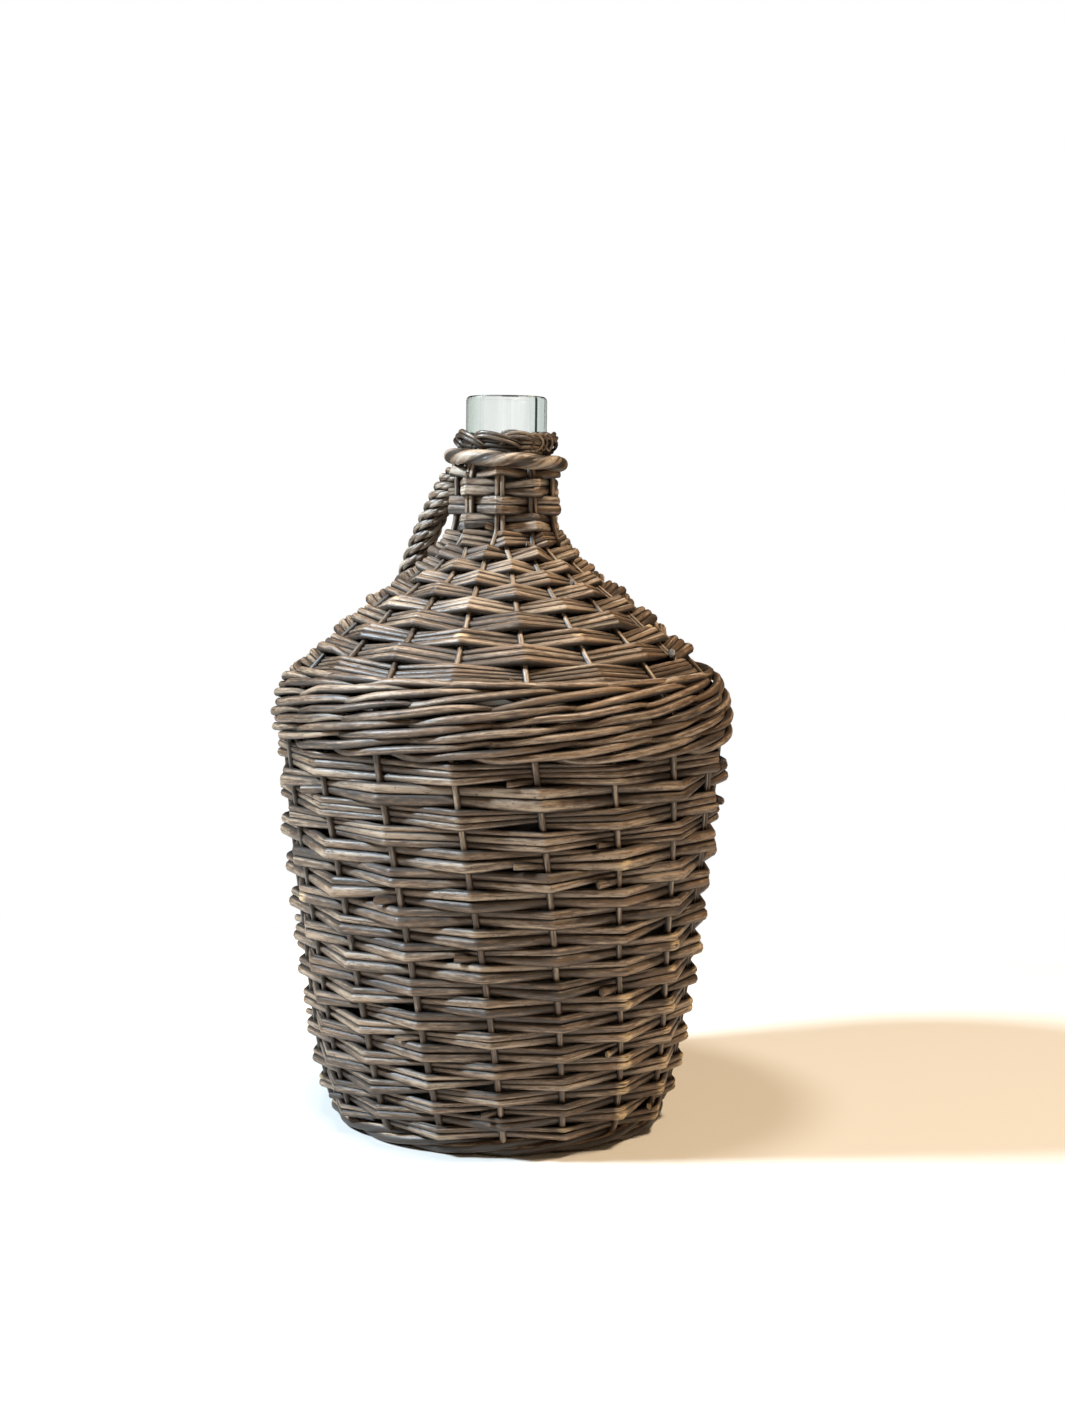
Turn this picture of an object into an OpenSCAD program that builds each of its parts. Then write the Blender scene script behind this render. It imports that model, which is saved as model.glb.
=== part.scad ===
// Wicker wine bottle: a glass bottle in a woven willow cover with a rope handle.
// Lengths are in millimetres, +Z is up, and the origin is on the floor under the middle of the base.
// The woven wall is described by its mid-line, the curve that the upright stakes follow.

/* [Overall] */
// Height of the glass rim above the floor
bottle_h = 380; // [370:1:400]
// Widest outer diameter of the woven cover
bulge_d = 245; // [235:1:260]
// Height at which the cover is widest, as a share of the whole height
bulge_share = 0.5342; // [0.515:0.001:0.55]
// Length of the straight neck, from the end of the shoulder's slope to the rim
neck_l = 58; // [54:1:66]

/* [Glass] */
// Outer diameter of the glass neck
neck_d = 43.2; // [41:0.2:46]
// Thickness of the glass round the bore of the neck
neck_t = 6.1; // [5:0.1:7]
// Thickness of the glass in the body
glass_t = 4.5; // [3:0.5:6]
// Rounding of the outer edge of the rim
rim_r = 2.4; // [1:0.2:3]
// Height of the push-up under the bottle
punt_h = 16; // [8:1:24]
// Width of the ring of glass on which the bottle stands
heel_w = 16; // [14:1:20]
// Gap between the glass and the weave
glass_gap = 0.3; // [0.2:0.05:0.6]

/* [Weave] */
// Thickness of the upright stakes
stake_d = 3.8; // [3:0.2:4.2]
// Thickness of the rods woven round the stakes
rod_d = 3.6; // [3:0.2:4]
// Width that each rod takes along the wall
rod_w = 4.2; // [3.6:0.1:5]
// Gap between a stake and the rods that pass it
weave_gap = 0.35; // [0.3:0.05:0.5]
// Gap between one round of weave and the next
row_gap = 0.3; // [0.2:0.05:0.5]
// Rounds of weave on the body
body_rows = 22; // [22]
// Rounds of weave on the slope of the shoulder
shoulder_rows = 10; // [10]
// Height of the weave on the neck, above the slope
neck_weave_h = 28.6; // [26:0.2:29]
// Height of the single round of rod that closes the neck weave
top_row_h = 2.6; // [2:0.1:2.8]

/* [Shoulder wale] */
// Thickness of the rods laid round the widest part
wale_rod_d = 4.6; // [4:0.2:5]
// How far below the widest place the shoulder wale begins
wale_below = 5; // [3:1:11]
// How far above the widest place the shoulder wale ends
wale_above = 30; // [28:1:33]

/* [Base] */
// Thickness of the two rods of the foot wale
foot_rod_d = 5.4; // [4.8:0.2:6]
// Depth of the flat that wear leaves under the foot
foot_flat = 0.3; // [0.2:0.1:0.5]
// Thickness of the sticks in the base
base_stick_d = 4.4; // [4:0.2:5]
// Thickness of the rods woven through the base
base_rod_d = 2.6; // [2.4:0.2:3]
// Half width of the crossed sticks in the middle of the base
slath_r = 20; // [18:1:24]

/* [Neck ring and border] */
// Thickness of the rope ring round the neck
ring_d = 8.4; // [7.6:0.2:8.6]
// Gap between the top round of weave and the rope ring
ring_gap = 1.1; // [0.8:0.1:1.6]
// Tilt of the rope ring, up on the left
ring_tilt = 3.5; // [0:0.5:4]
// Height of the border
border_h = 12.4; // [10:0.2:15]

/* [Handle] */
// Thickness of the handle rope
handle_d = 14; // [12:0.5:16]
// Thickness of the handle rope where it leaves the neck ring
handle_top_d = 7.6; // [6:0.2:9]
// Direction of the handle from the axis, in degrees from the right
handle_az = 130; // [90:5:180]

/* [Hidden] */
// Count and placing of the stakes, in degrees from the front
stake_n = 18;
stake_step = 360 / stake_n;
front_az = -90;
stake_phase = -12;
// How far round the stakes lean at the foot and at the neck
foot_lean = 14;
collar_lean = -5;
// Arms of the base
arm_n = 16;
arm_step = 360 / arm_n;
base_rows = 7;
// Sticks in each of the two layers of the slath
slath_n = 4;

// How much thinner the rods are at the neck than on the body
neck_thin_share = 0.66;
// How much taller the top round of the body is than the bottom one, and the same for the shoulder
body_grow_share = 0.75;
shoulder_grow_share = -0.3;
// Depth of the hollows between the rods of a round, as a share of the rod's half thickness
valley_share = 0.4;
// Radius of the foot wale as a share of the mid-line's radius at the bulge
foot_share = 0.711;
// Spacing of the two foot rods as a share of their thickness
foot_overlap_share = 0.92;
// Height of the border's foot above the middle of the ring, as a share of the ring's half thickness
border_seat_share = 0.81;
// Pull of the handle's two ends as a share of the distance between them
handle_pull_share = 0.28;
// Where the handle meets the shoulder, as a share of the way up from the bulge to the neck
handle_foot_share = 0.361;
// Directions of the handle's two ends, in degrees below level
handle_top_deg = 32;
handle_foot_deg = 66;

neck_r = neck_d / 2;
bore_r = neck_r - neck_t;
stake_r = stake_d / 2;
rod_r = rod_d / 2;
wale_rod_r = wale_rod_d / 2;
ring_r = ring_d / 2;
foot_rod_r = foot_rod_d / 2;
base_stick_r = base_stick_d / 2;
base_rod_r = base_rod_d / 2;

// Half thickness of the woven wall on the neck
neck_half = weave_gap + neck_thin_share * (stake_r + rod_d);
neck_stake_r = neck_thin_share * stake_r;

// Radii of the mid-line at the bulge, along the neck weave and in the groove under the border
bulge_r = bulge_d / 2 - stake_r - weave_gap - wale_rod_d;
collar_r = neck_r + glass_gap + neck_half;
groove_r = neck_r + glass_gap + neck_stake_r;
ring_mid_r = groove_r + neck_stake_r + weave_gap + ring_r;

// Heights of the widest place and of the shoulder wale round it
bulge_z = bulge_share * bottle_h;
wale_z0 = bulge_z - wale_below;
wale_z1 = bulge_z + wale_above;

// Heights up the neck: the end of the slope, the weave, the rope ring and the border
collar_z = bottle_h - neck_l;
weave_top_z = collar_z + neck_weave_h / 2;
ring_z = weave_top_z + top_row_h + ring_gap + ring_r + ring_mid_r * sin(ring_tilt);
border_z0 = ring_z + border_seat_share * ring_r;
border_z1 = border_z0 + border_h;
stake_top_z = border_z0 - row_gap;

// The base lies on the foot wale
base_mid_z = foot_rod_d - foot_flat + weave_gap + stake_r;
base_half = base_stick_r + weave_gap + base_rod_d;
glass_z0 = base_mid_z + base_half + glass_gap;
foot_mid_r = foot_share * bulge_r;
foot_out_r = foot_mid_r + (1 + foot_overlap_share) * foot_rod_r;

// Mid-line of the body, as shares of the bulge's radius and of its height above the base
body_shares = [
    [0.662, 0], [0.735, 0.004], [0.767, 0.022], [0.787, 0.07], [0.82, 0.152],
    [0.857, 0.295], [0.907, 0.525], [0.965, 0.78], [1, 1]
];
// Mid-line of the shoulder, as shares of the way from the neck out to the bulge and of the way up
shoulder_shares = [
    [0.987, 0.16], [0.891, 0.252], [0.758, 0.36], [0.599, 0.467], [0.425, 0.58],
    [0.228, 0.691], [0.144, 0.745], [0.069, 0.808], [0.025, 0.87], [0.006, 0.93], [0, 1]
];
// Mid-line above the neck weave, as shares of the way in to the groove and up to the stakes' ends
groove_shares = [[0, -0.5], [0, 0], [0.4, 0.3], [0.9, 0.6], [1, 1]];

control = concat(
    [for (p = body_shares) [p[0] * bulge_r, base_mid_z + p[1] * (bulge_z - base_mid_z)]],
    [for (p = shoulder_shares)
        [collar_r + p[0] * (bulge_r - collar_r), bulge_z + p[1] * (collar_z - bulge_z)]],
    [for (p = groove_shares)
        [collar_r + p[0] * (groove_r - collar_r), weave_top_z + p[1] * (stake_top_z - weave_top_z)]]
);

// Smooth curve through the control points
per_span = 8;
function pick(i) = control[max(0, min(len(control) - 1, i))];
function smooth(a, b, c, d, t) =
    b + t * (c - a) / 2 + t * t * (a - 2.5 * b + 2 * c - d / 2) + t * t * t * (1.5 * (b - c) + (d - a) / 2);
midline = concat(
    [for (i = [0 : len(control) - 2], k = [0 : per_span - 1])
        smooth(pick(i - 1), pick(i), pick(i + 1), pick(i + 2), k / per_span)],
    [pick(len(control) - 1)]
);

// Length along the mid-line, and tables that give places from it
last = len(midline) - 1;
step_len = [for (i = [0 : last]) i < last ? norm(midline[i + 1] - midline[i]) : 0];
run = [for (i = 0, a = 0; i <= last; a = a + step_len[i], i = i + 1) a];
r_table = [for (i = [0 : last]) [run[i], midline[i][0]]];
z_table = [for (i = [0 : last]) [run[i], midline[i][1]]];
run_table = [for (i = [0 : last]) [midline[i][1], run[i]]];
base_table = [for (i = [0 : last]) if (midline[i][1] < bulge_z) [midline[i][0], run[i]]];
probe = rod_r;

function at(s) = [lookup(s, r_table), lookup(s, z_table)];
function heading(s) = let (d = at(s + probe) - at(s - probe)) d / norm(d);
function outward(s) = let (t = heading(s)) [t[1], -t[0]];
function off(s, n) = at(s) + n * outward(s);
function run_of(z) = lookup(z, run_table);
function around(p, a) = [p[0] * cos(a), p[0] * sin(a), p[1]];
function thin(s) = lookup(lookup(s, z_table), [[bulge_z, 1], [collar_z, neck_thin_share]]);
function half_wall(s) = weave_gap + thin(s) * (stake_r + rod_d);

// Where each part of the weave begins and ends along the mid-line
s_foot = lookup(foot_out_r + row_gap, base_table);
s_wale0 = run_of(wale_z0);
s_wale1 = run_of(wale_z1);
s_slope1 = run_of(collar_z - neck_weave_h / 2);
s_neck1 = run_of(weave_top_z);

// Direction of stake j at a place along the mid-line
pair_half = asin((neck_stake_r + weave_gap / 2) / collar_r);
lean_table = [[s_foot, foot_lean], [s_wale0, 0], [s_neck1, collar_lean]];
pair_table = [[run_of(collar_z - neck_weave_h), 0], [s_slope1, 1]];
function stake_az(j, s) =
    front_az + stake_phase + j * stake_step + lookup(s, lean_table)
    + (j % 2 == 0 ? 1 : -1) * lookup(s, pair_table) * (stake_step / 2 - pair_half);

// Share of a height taken by the first k of n rounds, whose heights grow steadily
function grown(k, n, grow) = (k + grow * k * k / (2 * n)) / (n * (1 + grow / 2));
function rods_in(h) = max(1, round(h / rod_w));

// Faces of a closed tube, and of a tube with two ends, from rings of q points
function loop_faces(m, q) = [
    for (i = [0 : m - 1], k = [0 : q - 1])
        let (a = i * q + k, b = i * q + (k + 1) % q)
        let (d = ((i + 1) % m) * q + k, c = ((i + 1) % m) * q + (k + 1) % q)
        each [[a, b, c], [a, c, d]]
];
function tube_faces(m, q, first) = concat(
    [for (i = [0 : m - 2], k = [0 : q - 1])
        let (a = first + i * q + k, d = first + i * q + (k + 1) % q)
        each [[a, a + q, d + q], [a, d + q, d]]],
    [[for (k = [0 : q - 1]) first + k]],
    [[for (k = [q - 1 : -1 : 0]) first + (m - 1) * q + k]]
);

// Outline of one round of weave: rods side by side outside, flat inside
function row_outline(s0, s1, rods) = concat(
    [for (i = [0 : 2 * rods]) [s0 + (s1 - s0) * i / (2 * rods), i % 2 == 1 ? 1 : valley_share]],
    [[s1, -1], [s0, -1]]
);

// One round of weave between two places on the mid-line. sides holds 1 where the rods
// pass outside a stake and -1 where they pass inside it
module woven_row(s0, s1, sides) {
    outline = row_outline(s0 + row_gap / 2, s1 - row_gap / 2, rods_in(s1 - s0));
    points = [
        for (j = [0 : stake_n - 1], p = outline)
            let (reach = weave_gap + thin(p[0]) * (stake_r + rod_r))
            around(off(p[0], sides[j] * reach + p[1] * thin(p[0]) * rod_r), stake_az(j, p[0]))
    ];
    color("rosybrown")
        polyhedron(points, loop_faces(stake_n, len(outline)));
}

// Sides for rows on the single stakes, where odd is 0 or 1
function single_sides(odd) = [for (j = [0 : stake_n - 1]) (j + odd) % 2 == 0 ? 1 : -1];
// Sides for rows on the pairs of stakes. With nine pairs, two neighbours at the back are both outside
pair_n = stake_n / 2;
function pair_sides(odd) = [
    for (j = [0 : stake_n - 1])
        let (p = (floor(j / 2) + floor(pair_n / 2)) % pair_n)
        (p + odd) % 2 == 0 || p == pair_n - 1 ? 1 : -1
];

module body_row(k) {
    s0 = s_foot + (s_wale0 - s_foot) * grown(k - 1, body_rows, body_grow_share);
    s1 = s_foot + (s_wale0 - s_foot) * grown(k, body_rows, body_grow_share);
    woven_row(s0, s1, single_sides(k));
}

module shoulder_row(k) {
    s0 = s_wale1 + (s_slope1 - s_wale1) * grown(k - 1, shoulder_rows, shoulder_grow_share);
    s1 = s_wale1 + (s_slope1 - s_wale1) * grown(k, shoulder_rows, shoulder_grow_share);
    woven_row(s0, s1, single_sides(k + 1));
}

full_neck_rows = 3;
module neck_row(k) {
    pitch = (s_neck1 - s_slope1) / full_neck_rows;
    s0 = s_slope1 + (k - 1) * pitch;
    woven_row(s0, k > full_neck_rows ? s0 + top_row_h : s0 + pitch, pair_sides(k));
}

// Outline of the inside or outside of the glass body, which keeps inside the weave
heel_z_share = 0.085;
s_heel = run_of(base_mid_z + heel_z_share * (bulge_z - base_mid_z));
s_collar = run_of(collar_z);
wall_steps = 30;
function glass_body(inset, min_r) = [
    for (i = [0 : wall_steps])
        let (s = s_heel + (s_collar - s_heel) * i / wall_steps)
        let (p = off(s, -half_wall(s) - glass_gap - inset))
        if (p[0] > min_r + glass_gap) p
];
// Quarter turn from the heel ring up to the wall
heel_steps = 6;
function heel(a, b) = [
    for (i = [0 : heel_steps - 1])
        let (t = 90 * i / heel_steps)
        [a[0] + (b[0] - a[0]) * sin(t), b[1] - (b[1] - a[1]) * cos(t)]
];
// Push-up, from the middle out to the heel ring
punt_steps = 8;
function punt(r, z, h) = [
    for (i = [0 : punt_steps - 1])
        let (t = i / punt_steps)
        [t * r, z + h * (1 + cos(180 * t)) / 2]
];
// Rounded edge of the rim
edge_steps = 5;
function edge(x, z, r, a0, a1) = [
    for (i = [0 : edge_steps])
        let (t = a0 + (a1 - a0) * i / edge_steps)
        [x + r * cos(t), z + r * sin(t)]
];

module glass_bottle() {
    outer = glass_body(0, neck_r);
    inner = glass_body(glass_t, bore_r);
    ring_out = outer[0][0] - heel_w;
    ring_in = inner[0][0] - heel_w;
    inner_rim_r = rim_r / 2;
    color([0.72, 0.83, 0.76, 0.5])
        rotate_extrude($fn = 96)
            polygon(concat(
                punt(ring_out, glass_z0, punt_h),
                heel([ring_out, glass_z0], outer[0]),
                outer,
                [[neck_r, collar_z]],
                edge(neck_r - rim_r, bottle_h - rim_r, rim_r, 0, 90),
                edge(bore_r + inner_rim_r, bottle_h - inner_rim_r, inner_rim_r, 90, 180),
                [[bore_r, collar_z]],
                [for (i = [len(inner) - 1 : -1 : 0]) inner[i]],
                inner_floor(ring_in, inner[0])
            ));
}

// Inside of the bottom, from the wall back to the axis
function inner_floor(ring_in, wall) =
    let (line = concat(
        punt(ring_in, glass_z0 + glass_t, punt_h),
        heel([ring_in, glass_z0 + glass_t], wall)))
    [for (i = [len(line) - 1 : -1 : 0]) line[i]];

// Crossed sticks in the middle of the base: one layer along X under one along Y
module base_slath() {
    pitch = base_stick_d + row_gap;
    color("burlywood")
        for (layer = [0, 1], i = [0 : slath_n - 1])
            rotate([0, 0, 90 * layer])
                translate([0, (i - (slath_n - 1) / 2) * pitch, base_mid_z + (layer - 0.5) * pitch])
                    rotate([0, 90, 0])
                        cylinder(h = 2 * slath_r, r = base_stick_r, center = true, $fn = 32);
}

// Arms that spread from the slath to the edge of the base
module base_sticks() {
    arm_r0 = norm([slath_r, slath_n / 2 * (base_stick_d + row_gap)]) + row_gap;
    color("burlywood")
        for (i = [0 : arm_n - 1])
            rotate([0, 0, (i + 0.5) * arm_step])
                translate([arm_r0, 0, base_mid_z])
                    rotate([0, 90, 0])
                        cylinder(h = at(0)[0] - row_gap - arm_r0, r = base_stick_r, $fn = 32);
}

// Rounds of rod through the arms of the base
module base_weave() {
    r0 = norm([slath_r, slath_n / 2 * (base_stick_d + row_gap)]) + row_gap;
    pitch = (at(0)[0] - row_gap - r0) / base_rows;
    reach = base_stick_r + weave_gap + base_rod_r;
    q = 4;
    points = [
        for (k = [0 : base_rows - 1], j = [0 : arm_n - 1], c = [[0, -1], [1, -1], [1, 1], [0, 1]])
            let (side = (j + k) % 2 == 0 ? 1 : -1)
            let (r = r0 + k * pitch + row_gap / 2 + c[0] * (pitch - row_gap))
            around([r, base_mid_z + side * reach + c[1] * base_rod_r], (j + 0.5) * arm_step)
    ];
    faces = [
        for (k = [0 : base_rows - 1], f = loop_faces(arm_n, q))
            [for (v = [2, 1, 0]) f[v] + k * arm_n * q]
    ];
    color("rosybrown")
        polyhedron(points, faces);
}

// Two thick rods under the edge of the base, worn flat where they stand
module foot_wale() {
    color("tan")
        rotate_extrude($fn = 96)
            intersection() {
                for (side = [-1, 1])
                    translate([foot_mid_r + side * foot_overlap_share * foot_rod_r, foot_rod_r - foot_flat])
                        circle(r = foot_rod_r, $fn = 32);
                translate([foot_mid_r - foot_rod_d, 0])
                    square([2 * foot_rod_d, foot_rod_d]);
            }
}

// Places along the mid-line for the rings of a stake: closer together where it bends
turn_limit = 10;
stake_ring_gap = 12 * stake_d;
turn = [for (i = [0 : last])
    i == 0 || i == last ? 0
        : let (a = midline[i] - midline[i - 1], b = midline[i + 1] - midline[i])
          abs(asin(cross(a, b) / (norm(a) * norm(b))))];
turned = [for (i = 0, a = 0; i <= last; a = a + turn[i], i = i + 1) a];
function mark(i) = floor(turned[i] / turn_limit + run[i] / stake_ring_gap);
stake_marks = [for (i = [0 : last]) if (i == 0 || i == last || mark(i) > mark(i - 1)) run[i]];
stake_sides = 4;

// Upright rods on which the whole cover is woven
module side_stakes() {
    m = len(stake_marks);
    points = [
        for (j = [0 : stake_n - 1], s = stake_marks, k = [0 : stake_sides - 1])
            let (az = stake_az(j, s), w = thin(s) * stake_r, c = at(s), n = outward(s))
            let (fi = 360 * k / stake_sides)
            around(c + w * cos(fi) * n, az) + w * sin(fi) * [-sin(az), cos(az), 0]
    ];
    faces = [for (j = [0 : stake_n - 1]) each tube_faces(m, stake_sides, j * m * stake_sides)];
    color("wheat")
        polyhedron(points, faces);
}

// Thick rods laid side by side round the widest part, outside the stakes
wale_rods = 8;
wale_steps = 4;
module shoulder_wale() {
    s0 = s_wale0 + row_gap / 2;
    s1 = s_wale1 - row_gap / 2;
    inner_n = stake_r + weave_gap;
    n = wale_rods * wale_steps;
    function bump(i) = let (t = abs(sin(180 * i / wale_steps))) valley_share + (1 - valley_share) * t;
    outer = [for (i = [0 : n])
        off(s0 + (s1 - s0) * i / n, inner_n + wale_rod_r + wale_rod_r * bump(i))];
    inner = [for (i = [n : -wale_steps : 0]) off(s0 + (s1 - s0) * i / n, inner_n)];
    color("tan")
        rotate_extrude($fn = 96)
            polygon(concat(outer, inner));
}

// Rope ring in the groove between the neck weave and the border
module neck_ring() {
    color("peru")
        translate([0, 0, ring_z])
            rotate([0, ring_tilt, 0])
                rotate_extrude($fn = 96)
                    translate([ring_mid_r, 0])
                        circle(r = ring_r, $fn = 48);
}

// Border of bent-over stake ends round the bare glass
module neck_border() {
    t = neck_stake_r;
    in_r = neck_r + glass_gap;
    color("wheat")
        rotate_extrude($fn = 96)
            polygon(concat(
                [[in_r, border_z0], [in_r + 2 * t, border_z0]],
                edge(in_r + t, border_z1 - t, t, 0, 180)
            ));
}

// Path of the handle in the upright plane through the axis: from the ring to the shoulder
handle_gap = 0.4;
handle_rings = 22;
handle_sides = 10;
s_handle = run_of(bulge_z + handle_foot_share * (collar_z - bulge_z));
handle_out = outward(s_handle);
handle_end = off(s_handle, half_wall(s_handle) + handle_gap);
top_dir = [cos(handle_top_deg), -sin(handle_top_deg)];
foot_dir = [cos(handle_foot_deg), -sin(handle_foot_deg)];
ring_lift = -ring_mid_r * cos(handle_az) * sin(ring_tilt);
handle_start = [ring_mid_r, ring_z + ring_lift] + (ring_r + handle_gap) * top_dir;
handle_pull = handle_pull_share * norm(handle_end - handle_start);
p1 = handle_start + handle_pull * top_dir;
p2 = handle_end - handle_pull * foot_dir;
function handle_at(t) =
    (1 - t) ^ 3 * handle_start + 3 * t * (1 - t) ^ 2 * p1 + 3 * t * t * (1 - t) * p2 + t ^ 3 * handle_end;
function handle_dir(t) =
    let (d = (1 - t) ^ 2 * (p1 - handle_start) + 2 * t * (1 - t) * (p2 - p1) + t * t * (handle_end - p2))
    d / norm(d);
// The rope swells to its full thickness over this share of its length
swell_share = 0.3;
function handle_r(t) =
    let (u = min(1, t / swell_share))
    (handle_top_d + (handle_d - handle_top_d) * u * u * (3 - 2 * u)) / 2;
// The lower end is cut on the slope of the shoulder, so this slides a point along the rope to it
function onto_slope(p, d) = p + d * ((handle_end - p) * handle_out) / (d * handle_out);
// The handle's last plain ring stands this share of the way along
handle_cut_share = 0.8;

module handle_rope() {
    function ring(t, cut) = [
        for (k = [0 : handle_sides - 1])
            let (fi = 360 * k / handle_sides, d = handle_dir(t), r = handle_r(t))
            let (p = handle_at(t) + r * cos(fi) * [d[1], -d[0]])
            let (q = cut ? onto_slope(p, d) : p)
            [q[0], r * sin(fi), q[1]]
    ];
    points = concat(
        [for (i = [0 : handle_rings - 1]) each ring(handle_cut_share * i / (handle_rings - 1), false)],
        ring(1, true)
    );
    color("peru")
        rotate([0, 0, handle_az])
            polyhedron(points, tube_faces(handle_rings + 1, handle_sides, 0));
}

function two_digits(k) = str(k < 10 ? "0" : "", k);

glass_bottle();
base_slath();
base_sticks();
base_weave();
foot_wale();
side_stakes();
for (k = [1 : body_rows])
    body_row(k);
shoulder_wale();
for (k = [1 : shoulder_rows])
    shoulder_row(k);
for (k = [1 : full_neck_rows + 1])
    neck_row(k);
neck_ring();
neck_border();
handle_rope();
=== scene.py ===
"""Wicker wine bottle: willow weave, twisted rope and glass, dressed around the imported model."""

import math
from dataclasses import dataclass

import bpy
import numpy as np
from bpy.props import FloatProperty, FloatVectorProperty, IntProperty, PointerProperty
from mathutils import Matrix, Vector


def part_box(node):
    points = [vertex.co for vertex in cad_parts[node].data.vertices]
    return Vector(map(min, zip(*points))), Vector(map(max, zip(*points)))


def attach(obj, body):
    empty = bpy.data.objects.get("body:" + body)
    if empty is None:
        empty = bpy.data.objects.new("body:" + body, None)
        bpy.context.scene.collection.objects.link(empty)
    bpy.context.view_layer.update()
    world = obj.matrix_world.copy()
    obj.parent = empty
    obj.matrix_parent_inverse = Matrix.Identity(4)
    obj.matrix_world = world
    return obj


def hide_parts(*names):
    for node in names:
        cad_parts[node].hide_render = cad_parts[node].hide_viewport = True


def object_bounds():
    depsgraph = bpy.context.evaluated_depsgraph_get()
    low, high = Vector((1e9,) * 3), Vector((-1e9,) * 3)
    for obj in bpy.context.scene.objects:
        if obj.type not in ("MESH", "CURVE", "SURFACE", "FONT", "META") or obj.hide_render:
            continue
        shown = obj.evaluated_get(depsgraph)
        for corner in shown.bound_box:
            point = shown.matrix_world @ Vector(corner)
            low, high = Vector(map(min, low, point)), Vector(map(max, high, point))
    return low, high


bl_info = {
    "name": "Wicker Wine Bottle",
    "version": (1, 0, 0),
    "blender": (4, 5, 0),
    "location": "View3D > Sidebar > Wicker",
    "description": "Weaves a willow cover and its ropes round a glass bottle",
    "category": "Add Mesh",
}

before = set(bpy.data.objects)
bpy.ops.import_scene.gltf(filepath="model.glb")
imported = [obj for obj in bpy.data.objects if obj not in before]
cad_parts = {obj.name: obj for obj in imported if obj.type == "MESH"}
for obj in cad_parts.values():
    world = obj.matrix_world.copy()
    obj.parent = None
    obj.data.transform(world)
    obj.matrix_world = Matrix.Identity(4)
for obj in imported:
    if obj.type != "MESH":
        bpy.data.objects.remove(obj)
CAD_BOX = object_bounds()

MM = 0.001
BODY = "root"

# Mid-line of the woven wall, in the same shares as the solid model
BODY_SHARES = (
    (0.662, 0), (0.735, 0.004), (0.767, 0.022), (0.787, 0.07), (0.82, 0.152),
    (0.857, 0.295), (0.907, 0.525), (0.965, 0.78), (1, 1),
)
SHOULDER_SHARES = (
    (0.987, 0.16), (0.891, 0.252), (0.758, 0.36), (0.599, 0.467), (0.425, 0.58),
    (0.228, 0.691), (0.144, 0.745), (0.069, 0.808), (0.025, 0.87), (0.006, 0.93), (0, 1),
)
GROOVE_SHARES = ((0, -0.5), (0, 0), (0.4, 0.3), (0.9, 0.6), (1, 1))
BULGE_SHARE = 0.5342
NECK_THIN_SHARE = 0.66
BODY_GROW_SHARE = 0.75
SHOULDER_GROW_SHARE = -0.3
FRONT_AZ = -90.0
BODY_ROWS = 22
SHOULDER_ROWS = 10
NECK_ROWS = 3
BASE_ROWS = 7
BASE_ARMS = 16

# Gaps between things that lie close, and between the handle and what it rests on
CLOSE_GAP = 0.3 * MM
REST_GAP = 0.4 * MM

# Weave: a rod is nearly straight between stakes and turns sharply at each. Rods side by side press
# together a little, and a round's wavering edges have their own seed
BODY_ROD_PITCH = 4.4 * MM
SHOULDER_ROD_PITCH = 3.8 * MM
ROD_FLATNESS = 0.86
ROD_PRESS = 1.12
EDGE_SEED = 400
CORNER_SHARE = 0.04
STRETCH = (0.0, 0.02, 0.04, 0.06, 0.2, 0.36, 0.5, 0.64, 0.8, 0.94, 0.96, 0.98)

# One stroke of the shoulder wale: stakes passed, place outwards and share of the climb
WALE_STROKE = ((0, -0.75, 0.5), (0.5, 0.15, 0.08), (1, 1, 0.3), (1.5, 1.12, 0.52), (2, 1.02, 0.74),
               (2.5, 0.2, 0.94))

# Paler colour at the outer bends, most of them low on this side and few elsewhere
BENDS_AZ = math.radians(-30)
BENDS_Z = 112 * MM
BENDS_CHANCE = 0.8
ELSEWHERE_CHANCE = 0.03

# Ropes
RING_D = 8.4 * MM
RING_TILT = math.radians(3.5)
RING_LAY = 44 * MM
HANDLE_LAY = 36 * MM
HANDLE_STRANDS = 5
STRAND_RODS = 3
STRAND_TWIST = 2.6

# Finishes
TONE_SHIFT = 91.0
WARM_BARK = (0.26, 0.15, 0.075)
CRACK_DARK = (0.030, 0.020, 0.013)
BEND_PALE = (0.56, 0.41, 0.23)
SPECK_DARK = (0.02, 0.013, 0.009)
# Painted shade colour of the hollows and flanks of the rods
PAINTED_SHADE_DARK = (0.022, 0.014, 0.009)
# Glass colours: painted shade for its sides, a mould seam, and painted shade under the rim and where the
# weave covers it
GLASS_SIDE_SHADE = (0.60, 0.68, 0.625)
GLASS_SEAM = (0.002, 0.003, 0.003)
GLASS_RIM_SHADE = (0.20, 0.22, 0.20)
GLASS_COVERED_SHADE = (0.03, 0.032, 0.027)
SEAM_AZ = -43.5

# Studio: the floor's corners, and each lamp's name, place, height of its aim, size, power, colour
FLOOR_CORNERS = ((-3.0, -2.2, 0), (3.0, -2.2, 0), (3.0, -0.02, 0), (-3.0, 0.87, 0))
LAMPS = (
    ("key", (-1.45, -0.36, 1.35), 0.24, 0.26, 88, (0.74, 0.88, 1.0)),
    ("top", (-0.35, -0.25, 2.3), 0.28, 0.4, 22, (1.0, 0.94, 0.86)),
    ("fill", (0.8, -1.5, 0.8), 0.2, 0.6, 4, (1.0, 0.68, 0.38)),
    ("edge", (0.9, -0.25, 2.1), 0.24, 0.4, 52, (1.0, 0.77, 0.52)),
)

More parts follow.
